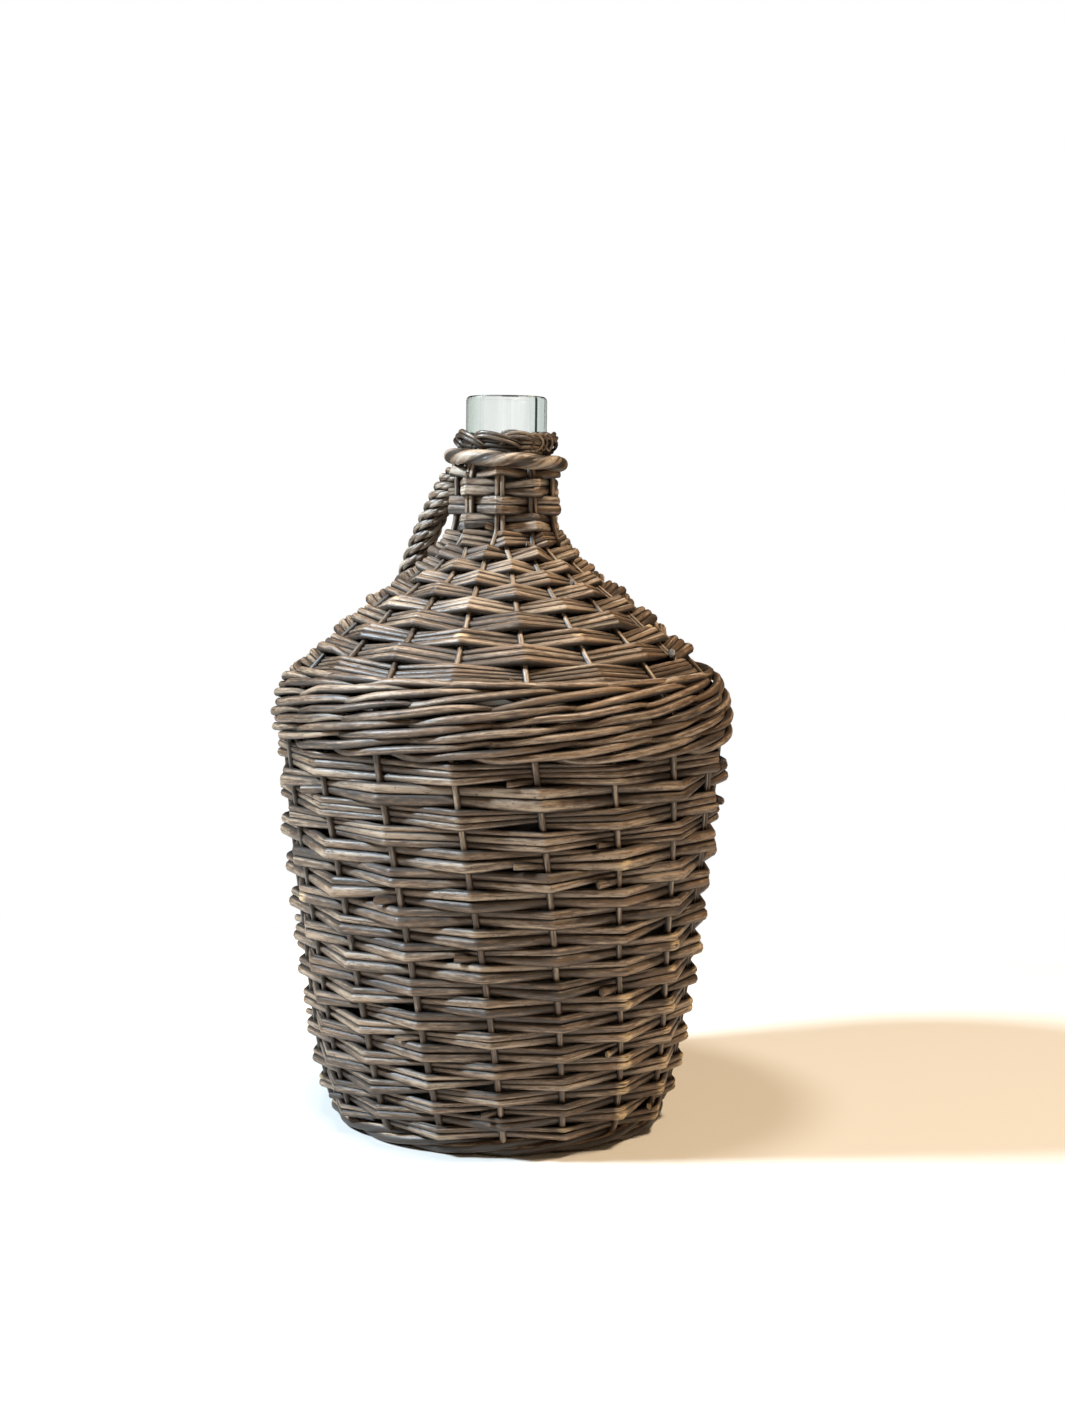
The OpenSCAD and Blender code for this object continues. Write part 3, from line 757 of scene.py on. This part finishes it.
def weave_round(wall, s0, s1, sides, rods, rng, seed=0, thick_share=1.0, over=1.0, under=0.5,
                uneven=0.5 * MM, lap=1.0):
    """Round of rods woven side by side as one band: each starts at the foot of the band, climbs as
    others start below it and ends at the top.

    sides says for each stake whether the band passes outside it, 1, or inside it, -1. over and
    under are how far it reaches there, as a share of the stake's and the rod's half thickness."""
    n = wall.z.stake_n
    starts_n = max(2, round(n * rods / rng.uniform(12, 16)))
    gap = n / starts_n
    first_at = rng.uniform(0, gap)
    starts = []
    for i in range(starts_n):
        at = int(first_at + gap * (i + rng.uniform(-0.2, 0.2)))
        while sides[at % n] > 0:
            at -= 1
        if not starts or at > starts[-1]:
            starts.append(at)
    count = len(starts)
    butts = rng.uniform(0.95, 1.3, count)
    tips = rng.uniform(0.55, 0.85, count)

    def begin(i):
        return starts[i % count] + n * (i // count)

    def width(i, js):
        first, last = begin(i), begin(i + rods)
        return np.interp(js, [first - lap, first, last, last + lap],
                         [0, butts[i % count], tips[i % count], 0])

    made = []
    for i in range(count):
        start = begin(i)
        stop = begin(i + rods) + int(lap)
        while sides[stop % n] > 0:
            stop += 1
        js = np.arange(start, stop + 1)
        own = np.maximum(width(i, js), 0.45)
        below = sum(width(i + q, js) for q in range(1, rods + 2))
        above = sum(width(i - q, js) for q in range(1, rods + 2))
        low = s0 + waver(seed, js, n, uneven)
        high = s1 + waver(seed + 1, js, n, uneven)
        unit = (high - low) / (own + below + above)
        s = low + (below + own / 2) * unit + rng.normal(0, 0.05, len(js)) * unit
        radius = own * unit / 2 * ROD_PRESS
        side = sides[js % n].astype(float)
        reach = wall.z.weave_gap * 0.4 + wall.thin(s0) * wall.stake_r + radius * thick_share
        lift = np.where(side > 0, over, under) * reach + rng.normal(0, 0.2 * MM, len(js))
        height = side * lift
        places = js.astype(float)
        pale_draw = np.random.default_rng(seed + 900 + i)
        if rng.random() < 0.4:
            places = np.concatenate([[start - rng.uniform(0.25, 0.42)], places])
            height = np.concatenate([[reach[0] * rng.uniform(0.9, 1.4)], height])
            s = np.concatenate([[s[0] + rng.uniform(-0.3, 0.6) * unit[0]], s])
            radius = np.concatenate([radius[:1], radius])
            side = np.concatenate([[1], side])
        az = wall.stake_az(places, s)
        corners = wall.place(s, height, az)
        faces = wall.normal(s, az)
        line, where = kinked(corners, CORNER_SHARE, STRETCH)
        steps = np.arange(len(s))
        facing = spread(where, faces)
        depth = np.interp(where, steps, side)
        # Paler colour at some outer bends, most of them low on this side
        pulled = (np.cos(az - BENDS_AZ) > 0.87) & (s < BENDS_Z)
        pale = (pale_draw.random(len(s)) < np.where(pulled, BENDS_CHANCE, ELSEWHERE_CHANCE)) & (side > 0)
        nearest = np.rint(where).astype(int)
        bend = pale[nearest] * np.clip(1 - np.abs(where - nearest) / 0.2, 0, 1)
        # Painted shade where the band passes inside the stakes, less the paler bends
        shade_and_bend = np.clip(0.22 - 0.42 * depth, 0, 0.6) - 0.6 * bend
        made.append(make_rod(line, np.interp(where, steps, radius), rng, side=facing, shade_and_bend=shade_and_bend))
    return made


def rods_in(height, pitch, rng):
    """Count of the rods that fill a round of this height."""
    return max(2, round(height / pitch + rng.uniform(-0.25, 0.25)))


def row_places(first, last, rows, k, grow):
    span = last - first
    return first + span * grown(k - 1, rows, grow), first + span * grown(k, rows, grow)


def frames(core):
    """Two directions square to a line at each of its points, which don't turn round it."""
    d = np.gradient(core, axis=0)
    d /= np.linalg.norm(d, axis=1, keepdims=True)
    a = np.cross(d, [0, 0, 1.0])
    a /= np.linalg.norm(a, axis=1, keepdims=True)
    return a, np.cross(a, d)


def rope_strand(core, offset, radius, turns, phase, rng, closed=False, sub=None, ease=1.0):
    """One rod of a rope: it turns round the core, and round its own strand too when sub gives that
    strand's radius and phase. An ease below 1 lays the rope tighter at its start."""
    run = along(core)
    share = run / run[-1]
    a, b = frames(core)
    if closed:
        a[0] = a[-1] = (a[1] + a[-2]) / 2
        b[0] = b[-1] = (b[1] + b[-2]) / 2
    turn = phase + math.tau * turns * share ** ease
    aside = np.cos(turn)[:, None] * a + np.sin(turn)[:, None] * b
    line = core + np.broadcast_to(offset, share.shape)[:, None] * aside
    if sub is not None:
        sub_r, sub_phase = sub
        spin = sub_phase + turn * STRAND_TWIST
        across = np.cross(np.gradient(core, axis=0), aside)
        across /= np.linalg.norm(across, axis=1, keepdims=True)
        lean = np.cos(spin)[:, None] * aside + np.sin(spin)[:, None] * across
        line = line + np.broadcast_to(sub_r, share.shape)[:, None] * lean
    return make_rod(line, radius, rng, side=aside, knots=0.04)


def handle_ends(wall):
    """The four points that the handle's path is drawn from, as distance from the axis and height."""
    z = wall.z
    low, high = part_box("neck_ring")
    ring_r = (high[1] - low[1]) / 2 - RING_D / 2
    ring_z = (low[2] + high[2]) / 2 - ring_r * math.cos(z.handle_az) * math.sin(RING_TILT)
    s = wall.run_of(wall.bulge_z + 0.361 * (wall.collar_z - wall.bulge_z))
    end = wall.at(s) + (wall.half_wall(s) + REST_GAP) * wall.outward(s)
    top_dir, foot_dir = (np.array([math.cos(math.radians(dip)), -math.sin(math.radians(dip))])
                         for dip in (32, 66))
    start = np.array([ring_r, ring_z]) + (RING_D / 2 + REST_GAP) * top_dir
    pull = 0.28 * np.linalg.norm(end - start)
    return start, start + pull * top_dir, end - pull * foot_dir, end


def wale_rounds(wall, s0, s1, rounds, rod_r, climb, rng):
    """Rounds of three-rod wale: each rod lies outside two stakes and behind the next, and climbs
    while it is outside."""
    n = wall.z.stake_n
    pitch = (s1 - s0 - climb * 0.55) / (rounds - 1)
    made = []
    for level in range(rounds):
        base = s0 + rod_r * 0.4 + level * pitch
        for weaver in range(3):
            first = weaver
            while first < n + weaver:
                spans = min(int(rng.integers(2, 5)), (n + weaver - first) // 3)
                if spans <= 0:
                    break
                stroke = np.array(WALE_STROKE)
                parts = [stroke + (first + 3 * k, 0, 0) for k in range(spans)]
                parts.append(stroke[:1] + (first + 3 * spans, 0, 0))
                js, ns, ss = np.concatenate(parts).T
                radius = rod_r * rng.uniform(0.86, 1.06)
                reach = wall.stake_r + wall.z.weave_gap * 0.4 + radius
                depth = ns * reach + rng.normal(0, 0.15 * MM, len(ns))
                s = base + climb * (ss - 0.5) + climb / 2 + rng.normal(0, 0.25 * MM, len(ss))
                s = np.clip(s, s0 + radius * 0.8, s1 - radius * 0.6)
                az0 = math.radians(FRONT_AZ) + wall.z.stake_phase
                az = az0 + js * wall.step
                line = catmull_rom(wall.place(s, depth, az), 5)
                where = np.linspace(0, len(js) - 1, len(line))
                facing = spread(where, wall.normal(s, az))
                inner = np.interp(where, np.arange(len(js)), ns)
                size = radius * tapered(along(line), rng.uniform(0.55, 0.8), 80 * MM)
                # Painted shade where the rod passes behind the stakes
                made.append(make_rod(line, size, rng, side=facing,
                                     shade_and_bend=np.clip(0.35 - 0.5 * inner, 0, 0.8)))
                first += 3 * spans
    return made


def weave_rows(wall, part, first, last, rows, grow, odd, pitch, seed):
    """Weaves the rounds between two places on the wall, each instead of its own solid."""
    for k in range(1, rows + 1):
        rng = np.random.default_rng(seed + k)
        s0, s1 = row_places(first, last, rows, k, grow)
        made = weave_round(wall, s0, s1, single_sides(k + odd, wall.z.stake_n),
                           rods_in(s1 - s0, pitch, rng), rng, seed=seed + EDGE_SEED + k,
                           thick_share=ROD_FLATNESS)
        node = f"{part}_{k:02d}"
        dress(f"weave_{node}", made, "Willow rod", "rod", node, flatness=ROD_FLATNESS)


# Operators

class WICKER_OT_body_rows(bpy.types.Operator):
    """Weave the rounds of the body"""
    bl_idname = "wicker.body_rows"
    bl_label = "Body rows"

    def execute(self, context):
        wall = WallLine(context.scene.wicker_sizes)
        weave_rows(wall, "body_row", wall.s_foot, wall.s_wale0, BODY_ROWS, BODY_GROW_SHARE,
                   odd=0, pitch=BODY_ROD_PITCH, seed=100)
        return {"FINISHED"}


class WICKER_OT_shoulder_rows(bpy.types.Operator):
    """Weave the rounds of the shoulder's slope"""
    bl_idname = "wicker.shoulder_rows"
    bl_label = "Shoulder rows"

    def execute(self, context):
        wall = WallLine(context.scene.wicker_sizes)
        weave_rows(wall, "shoulder_row", wall.s_wale1, wall.s_slope1, SHOULDER_ROWS,
                   SHOULDER_GROW_SHARE, odd=1, pitch=SHOULDER_ROD_PITCH, seed=200)
        return {"FINISHED"}


class WICKER_OT_neck_rows(bpy.types.Operator):
    """Weave the rounds of flatter rod on the neck"""
    bl_idname = "wicker.neck_rows"
    bl_label = "Neck rows"

    def execute(self, context):
        wall = WallLine(context.scene.wicker_sizes)
        pitch = (wall.s_neck1 - wall.s_slope1) / NECK_ROWS
        for k in range(1, NECK_ROWS + 2):
            rng = np.random.default_rng(300 + k)
            s0 = wall.s_slope1 + (k - 1) * pitch
            s1 = s0 + (pitch if k <= NECK_ROWS else wall.z.top_row_h + 2.6 * MM)
            rods = max(1, round((s1 - s0) / wall.z.rod_w))
            made = weave_round(wall, s0, s1, pair_sides(k, wall.z.stake_n), rods, rng,
                               seed=300 + EDGE_SEED + k,
                               thick_share=0.5, over=1.16, under=1.0, uneven=0.15 * MM, lap=0.3)
            node = f"neck_row_{k}"
            # Lighter willow as painted light on the neck
            dress(f"weave_{node}", made, "Willow neck painted light", "rod", node, flatness=0.5)
        return {"FINISHED"}


class WICKER_OT_stakes(bpy.types.Operator):
    """Set the upright stakes"""
    bl_idname = "wicker.stakes"
    bl_label = "Stakes"

    def execute(self, context):
        wall = WallLine(context.scene.wicker_sizes)
        rng = np.random.default_rng(11)
        s = np.linspace(0, wall.end, 160)
        made = []
        for j in range(wall.z.stake_n):
            az = wall.stake_az(j, s)
            wave = 0.5 * MM * np.interp(s, np.linspace(0, wall.end, 9), rng.normal(0, 1, 9))
            radius = (0.4 + 0.6 * wall.thin(s)) * wall.stake_r * rng.uniform(0.85, 1.0)
            out = wall.at(s)[:, 0]
            line = wall.place(s, 0 * s, az + wave / out)
            # Painted shade on the stakes on the left side of the body, below the slope
            painted_shade = np.where(s < wall.s_slope1, 0.62 * np.clip(-1.6 * np.cos(az[0]) - 0.1, 0, 1), 0)
            made.append(make_rod(line, radius, rng, side=wall.normal(s, az), shade_and_bend=painted_shade,
                                 tone=rng.uniform(0.35, 0.95), knots=0.06))
            if rng.random() < 0.2:
                part = (s > wall.s_foot) & (s < rng.uniform(0.75, 0.95) * wall.s_slope1)
                beside = wall.place(s, 0 * s - 0.3 * MM, az + (wave - radius * 1.65) / out)
                made.append(make_rod(beside[part], 0.62 * radius[part], rng,
                                     side=wall.normal(s, az)[part], tone=rng.uniform(0.1, 0.6)))
        dress("upright_stakes", made, "Willow stake", "stake", "side_stakes")
        return {"FINISHED"}


class WICKER_OT_glass(bpy.types.Operator):
    """Give the imported glass bottle its glass finish"""
    bl_idname = "wicker.glass"
    bl_label = "Glass bottle"

    def execute(self, context):
        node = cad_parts["glass_bottle"]
        node.data.materials.clear()
        node.data.materials.append(materials()["Bottle glass"])
        return {"FINISHED"}


class WICKER_OT_shoulder_wale(bpy.types.Operator):
    """Lay the rounds of three-rod wale round the widest part"""
    bl_idname = "wicker.shoulder_wale"
    bl_label = "Shoulder wale"

    def execute(self, context):
        wall = WallLine(context.scene.wicker_sizes)
        rng = np.random.default_rng(21)
        made = wale_rounds(wall, wall.s_wale0, wall.s_wale1, 5, wall.z.wale_rod_d / 2, 10 * MM, rng)
        dress("shoulder_wale_rods", made, "Willow rod", "thick_rod", "shoulder_wale", sides=10)
        return {"FINISHED"}


class WICKER_OT_base(bpy.types.Operator):
    """Weave the base: crossed sticks, arms and the rounds that fill it"""
    bl_idname = "wicker.base"
    bl_label = "Base"

    def execute(self, context):
        wall = WallLine(context.scene.wicker_sizes)
        rng = np.random.default_rng(26)
        mid_z = wall.base_z
        stick_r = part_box("base_sticks")[1][2] - mid_z
        slath_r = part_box("base_slath")[1][0]
        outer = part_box("base_weave")[1][0]
        pitch = 2 * stick_r + 0.2 * MM
        inner = math.hypot(slath_r, 2 * pitch) + 0.2 * MM

        def stick(a, b, width):
            t = np.linspace(0, 1, 14)[:, None]
            line = np.array(a) * (1 - t) + np.array(b) * t
            line += rng.normal(0, 0.12 * MM, line.shape) * (0, 0, 0.5)
            return make_rod(line, width * np.linspace(1.0, rng.uniform(0.82, 0.95), 14), rng,
                            tone=rng.uniform(0.2, 0.8), knots=0.05)

        crossed = []
        for k in range(4):
            aside = (k - 1.5) * pitch
            end = slath_r * rng.uniform(0.98, 1.0)
            crossed.append(stick((-end, aside, mid_z - pitch / 2), (end, aside, mid_z - pitch / 2),
                                 stick_r))
            crossed.append(stick((aside, end, mid_z + pitch / 2), (aside, -end, mid_z + pitch / 2),
                                 stick_r))
        dress("slath_sticks", crossed, "Willow stake", "stake", "base_slath")

        arms = []
        step = math.tau / BASE_ARMS
        for k in range(BASE_ARMS):
            a = (k + 0.5) * step
            out = np.array([math.cos(a), math.sin(a), 0])
            arms.append(stick(inner * out + (0, 0, mid_z), outer * out + (0, 0, mid_z), stick_r))
        dress("base_arms", arms, "Willow stake", "stake", "base_sticks")

        woven = []
        wide = (outer - inner) / BASE_ROWS
        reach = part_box("base_weave")[1][2] - mid_z
        for k in range(BASE_ROWS):
            for track in range(3):
                start = int(rng.integers(0, BASE_ARMS))
                js = np.arange(start, start + BASE_ARMS + 2)
                rod_r = wide / 6 * rng.uniform(0.94, 1.12)
                lift = (reach - rod_r) * rng.uniform(0.94, 1.0, len(js))
                side = np.where((js + k) % 2 == 0, 1, -1)
                radius = inner + (k + (track + 0.5) / 3) * wide + rng.normal(0, 0.1 * MM, len(js))
                a = (js + 0.5) * step
                corners = around_axis(radius, a, mid_z + side * lift)
                line, where = kinked(corners, 0.3, STRETCH)
                facing = np.zeros_like(line)
                facing[:, 2] = -1
                depth = np.interp(where, np.arange(len(js)), -side)
                # Painted shade where the rod passes behind the arms
                woven.append(make_rod(line, rod_r, rng, side=facing,
                                      shade_and_bend=np.clip(0.3 - 0.5 * depth, 0, 0.8)))
        dress("base_rounds", woven, "Willow rod", "rod", "base_weave", sides=8)
        return {"FINISHED"}


class WICKER_OT_foot_wale(bpy.types.Operator):
    """Lay the three thick rods that turn round each other under the edge of the base"""
    bl_idname = "wicker.foot_wale"
    bl_label = "Foot wale"

    def execute(self, context):
        wall = WallLine(context.scene.wicker_sizes)
        rng = np.random.default_rng(22)
        r = wall.z.foot_rod_d / 2
        mid_r = wall.foot_r - 1.4 * r
        turns = 5
        made = []
        a = np.linspace(0, math.tau, 361)
        for phase in (0, math.tau / 3, 2 * math.tau / 3):
            t = turns * a + phase
            radius = mid_r + 0.95 * r * np.cos(t)
            height = 1.80 * r + 0.85 * r * np.sin(t)
            # Painted shade where each rod turns in towards the axis
            made.append(make_rod(around_axis(radius, a, height), r * 0.87, rng,
                                 tone=rng.uniform(0.3, 0.7), knots=0.02,
                                 shade_and_bend=np.clip(0.2 - 0.5 * np.cos(t), 0, 0.6)))
        # Brighter willow as painted light under the edge of the base
        dress("foot_wale_rods", made, "Willow foot painted light", "thick_rod", "foot_wale", sides=12, relief=0.08)
        return {"FINISHED"}


class WICKER_OT_neck_ring(bpy.types.Operator):
    """Twist the rope ring under the border"""
    bl_idname = "wicker.neck_ring"
    bl_label = "Neck ring"

    def execute(self, context):
        rng = np.random.default_rng(23)
        low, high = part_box("neck_ring")
        rope_r = RING_D / 2
        lift = math.sin(RING_TILT)
        mid_r = (high[1] - low[1]) / 2 - rope_r
        mid_z = (low[2] + high[2]) / 2
        a = np.linspace(0, math.tau, 241)
        core = np.stack([mid_r * np.cos(a) * math.cos(RING_TILT), mid_r * np.sin(a),
                         mid_z - mid_r * np.cos(a) * lift], axis=1)
        turns = round(math.tau * mid_r / RING_LAY)
        made = [rope_strand(core, rope_r * 0.19, rope_r * 0.83, turns, math.pi * strand, rng,
                            closed=True) for strand in range(2)]
        dress("neck_ring_rope", made, "Willow rope", "rope", "neck_ring", sides=14, relief=0.07)
        return {"FINISHED"}


class WICKER_OT_neck_border(bpy.types.Operator):
    """Bend the stake ends over in arches round the bare glass"""
    bl_idname = "wicker.neck_border"
    bl_label = "Neck border"

    def execute(self, context):
        wall = WallLine(context.scene.wicker_sizes)
        rng = np.random.default_rng(24)
        z0, z1 = wall.border_z0, wall.border_z1
        r0 = wall.groove_r
        t = wall.neck_stake_r
        pairs = wall.z.stake_n // 2
        step = math.tau / pairs
        made = []

        def bent(key, az0, rod_r, tone=None):
            """Rod through places given as (steps round, rods outward, share of the height)."""
            key = np.array(key, float)
            az = az0 + key[:, 0] * step
            radius = r0 + key[:, 1] * t
            pts = around_axis(radius, az, z0 + (z1 - z0) * key[:, 2])
            line = catmull_rom(pts + rng.normal(0, 0.12 * MM, pts.shape), 7)
            facing = line * (1, 1, 0)
            facing /= np.linalg.norm(facing, axis=1, keepdims=True)
            made.append(make_rod(line, rod_r * tapered(along(line), 0.7, 20 * MM), rng, side=facing,
                                 tone=tone, knots=0.05))

        for p in range(pairs):
            az0 = float(np.mean([wall.stake_az(2 * p + i, wall.s_neck1) for i in (0, 1)]))
            top = rng.uniform(0.62, 0.86)
            reach = rng.uniform(1.25, 1.6)
            for i in (0, 1):
                up = 0.17 * i
                out = 0.9 * (1 - i)
                bent([(-0.12 + 0.16 * i, 0.0, -0.2), (-0.08 + 0.16 * i, 0.4, 0.2),
                      (0.16, 1.3 + out, top * 0.8 + up), (0.5, 2.0 + out, top + up),
                      (0.5 * reach + 0.25, 2.6 + out, top * 0.82 + up),
                      (reach, 1.9 + out, 0.32 + up), (reach + 0.22, 0.3, 0.06 + up)],
                     az0, t * rng.uniform(0.85, 1.02), tone=rng.uniform(0.0, 0.5))
        front = math.radians(FRONT_AZ)
        for k in range(4):
            turn = front + math.radians(26 + 9 * k)
            high = rng.uniform(0.75, 1.0)
            width = rng.uniform(0.10, 0.16)
            bent([(-width, 0.8, 0.1), (-width * 1.3, 2.2, 0.55), (-width * 0.4, 3.0, high),
                  (width * 0.9, 3.4, high * 0.86), (width * 1.2, 3.8, 0.42), (width * 0.3, 3.2, 0.12),
                  (-width * 0.5, 2.6, 0.3)], turn, t * rng.uniform(0.75, 0.95))
        for k in range(4):
            turn = front + math.radians(14)
            bent([(0.0, 0.4, 0.06 + 0.2 * k), (0.12, 2.4, 0.05 + 0.2 * k), (0.42, 3.2, 0.04 + 0.2 * k),
                  (0.75, 2.6, 0.02 + 0.19 * k), (0.95, 0.4, 0.05 + 0.15 * k)],
                 turn, t * 1.05, tone=rng.uniform(0.1, 0.5))
        for k in range(3):
            a = np.linspace(0, math.tau, 73)
            r = r0 + t * (0.7 + 0.25 * np.cos(5 * a + 2 * k))
            z = z0 + (z1 - z0) * (0.08 + 0.22 * k) + 0.4 * MM * np.cos(7 * a + k)
            made.append(make_rod(around_axis(r, a, z), t, rng, tone=0.1, knots=0.03))
        dress("border_arches", made, "Willow border", "stake", "neck_border", sides=8)
        return {"FINISHED"}


class WICKER_OT_handle(bpy.types.Operator):
    """Twist the handle rope from the neck ring down to the shoulder"""
    bl_idname = "wicker.handle"
    bl_label = "Handle"

    def execute(self, context):
        wall = WallLine(context.scene.wicker_sizes)
        rng = np.random.default_rng(25)
        start, pull_in, pull_out, end = handle_ends(wall)
        t = np.linspace(-0.06, 1.04, 150)[:, None]
        flat = ((1 - t) ** 3 * start + 3 * t * (1 - t) ** 2 * pull_in
                + 3 * t * t * (1 - t) * pull_out + t ** 3 * end)
        az = wall.z.handle_az
        core = np.stack([flat[:, 0] * math.cos(az), flat[:, 0] * math.sin(az), flat[:, 1]], axis=1)
        swell = np.clip(t[:, 0] / 0.16, 0, 1)
        rope_r = 0.58 * (wall.z.handle_top_d + (wall.z.handle_d - wall.z.handle_top_d) * swell)
        turns = -along(core)[-1] / HANDLE_LAY
        made = [rope_strand(core, rope_r * 0.64, rope_r * 0.22, turns,
                            math.tau * strand / HANDLE_STRANDS, rng, ease=0.72,
                            sub=(rope_r * 0.11, math.tau * rod / STRAND_RODS))
                for strand in range(HANDLE_STRANDS) for rod in range(STRAND_RODS)]
        dress("handle_rope_strands", made, "Willow rope", "rope", "handle_rope", sides=8)
        return {"FINISHED"}


class WICKER_OT_stage(bpy.types.Operator):
    """Set the floor, the lamps and the camera"""
    bl_idname = "wicker.stage"
    bl_label = "Stage"

    def execute(self, context):
        look = context.scene.wicker_look
        floor_mesh = bpy.data.meshes.new("floor")
        floor_mesh.from_pydata(FLOOR_CORNERS, [], [(0, 1, 2, 3)])
        floor = bpy.data.objects.new("floor", floor_mesh)
        context.collection.objects.link(floor)
        floor_mesh.materials.append(
            Paint("Studio floor").finish(Base_Color=(*look.floor, 1), Roughness=0.7))

        world = bpy.data.worlds.new("Studio")
        context.scene.world = world
        world.use_nodes = True
        tree = world.node_tree
        tree.nodes.clear()
        sky = add_node(tree, "ShaderNodeBackground", {"Color": (1.0, 0.85, 0.68, 1), "Strength": 0.055})
        plain = add_node(tree, "ShaderNodeBackground", {"Color": (1, 1, 1, 1), "Strength": 1.0})
        rays = add_node(tree, "ShaderNodeLightPath").outputs
        seen = add_node(tree, "ShaderNodeMath", {0: rays["Is Camera Ray"], 1: rays["Is Transmission Ray"]},
                        operation="MAXIMUM")
        blend = add_node(tree, "ShaderNodeMixShader",
                         {0: seen.outputs[0], 1: sky.outputs[0], 2: plain.outputs[0]})
        add_node(tree, "ShaderNodeOutputWorld", {0: blend.outputs[0]})

        for name, place, aim_z, width, power, colour in LAMPS:
            data = bpy.data.lights.new(name, "AREA")
            data.shape = "DISK"
            data.size = width
            data.energy = power
            data.color = colour
            lamp = bpy.data.objects.new(name, data)
            lamp.location = place
            aim = Vector((0, 0, aim_z)) - Vector(place)
            lamp.rotation_euler = aim.to_track_quat("-Z", "Y").to_euler()
            context.collection.objects.link(lamp)

        data = bpy.data.cameras.new("camera")
        camera = bpy.data.objects.new("camera", data)
        context.collection.objects.link(camera)
        set_camera(camera)
        context.scene.camera = camera
        context.scene.view_settings.view_transform = "Standard"
        return {"FINISHED"}


def set_camera(camera):
    """Stands the camera level in front of the bottle and shifts its frame as the photograph's."""
    data = camera.data
    data.sensor_width = SENSOR
    data.lens = SENSOR * FOCAL_PX / PHOTO_H
    data.shift_x = (PHOTO_W / 2 - AXIS_PX) / PHOTO_H
    data.shift_y = (HORIZON_PX - PHOTO_H / 2) / PHOTO_H
    turn = Matrix.Rotation(math.pi / 2, 4, "X") @ Matrix.Rotation(ROLL, 4, "Z")
    camera.matrix_world = Matrix.Translation((0, -EYE_DISTANCE, EYE_HEIGHT)) @ turn


class WICKER_PT_panel(bpy.types.Panel):
    """Lists the pieces of the bottle"""
    bl_idname = "WICKER_PT_panel"
    bl_label = "Wicker bottle"
    bl_space_type = "VIEW_3D"
    bl_region_type = "UI"
    bl_category = "Wicker"

    def draw(self, context):
        for operator in OPERATORS:
            self.layout.operator(operator.bl_idname)


OPERATORS = (
    WICKER_OT_stage, WICKER_OT_glass, WICKER_OT_stakes, WICKER_OT_body_rows,
    WICKER_OT_shoulder_wale, WICKER_OT_shoulder_rows, WICKER_OT_neck_rows,
    WICKER_OT_base, WICKER_OT_foot_wale, WICKER_OT_neck_ring, WICKER_OT_neck_border,
    WICKER_OT_handle,
)
CLASSES = (WickerSizes, WickerLook) + OPERATORS + (WICKER_PT_panel,)


def register():
    for cls in CLASSES:
        bpy.utils.register_class(cls)
    bpy.types.Scene.wicker_sizes = PointerProperty(type=WickerSizes)
    bpy.types.Scene.wicker_look = PointerProperty(type=WickerLook)


def unregister():
    del bpy.types.Scene.wicker_look
    del bpy.types.Scene.wicker_sizes
    for cls in reversed(CLASSES):
        bpy.utils.unregister_class(cls)


def main():
    register()
    for operator in OPERATORS:
        group, name = operator.bl_idname.split(".")
        getattr(getattr(bpy.ops, group), name)()


if __name__ == "__main__":
    main()
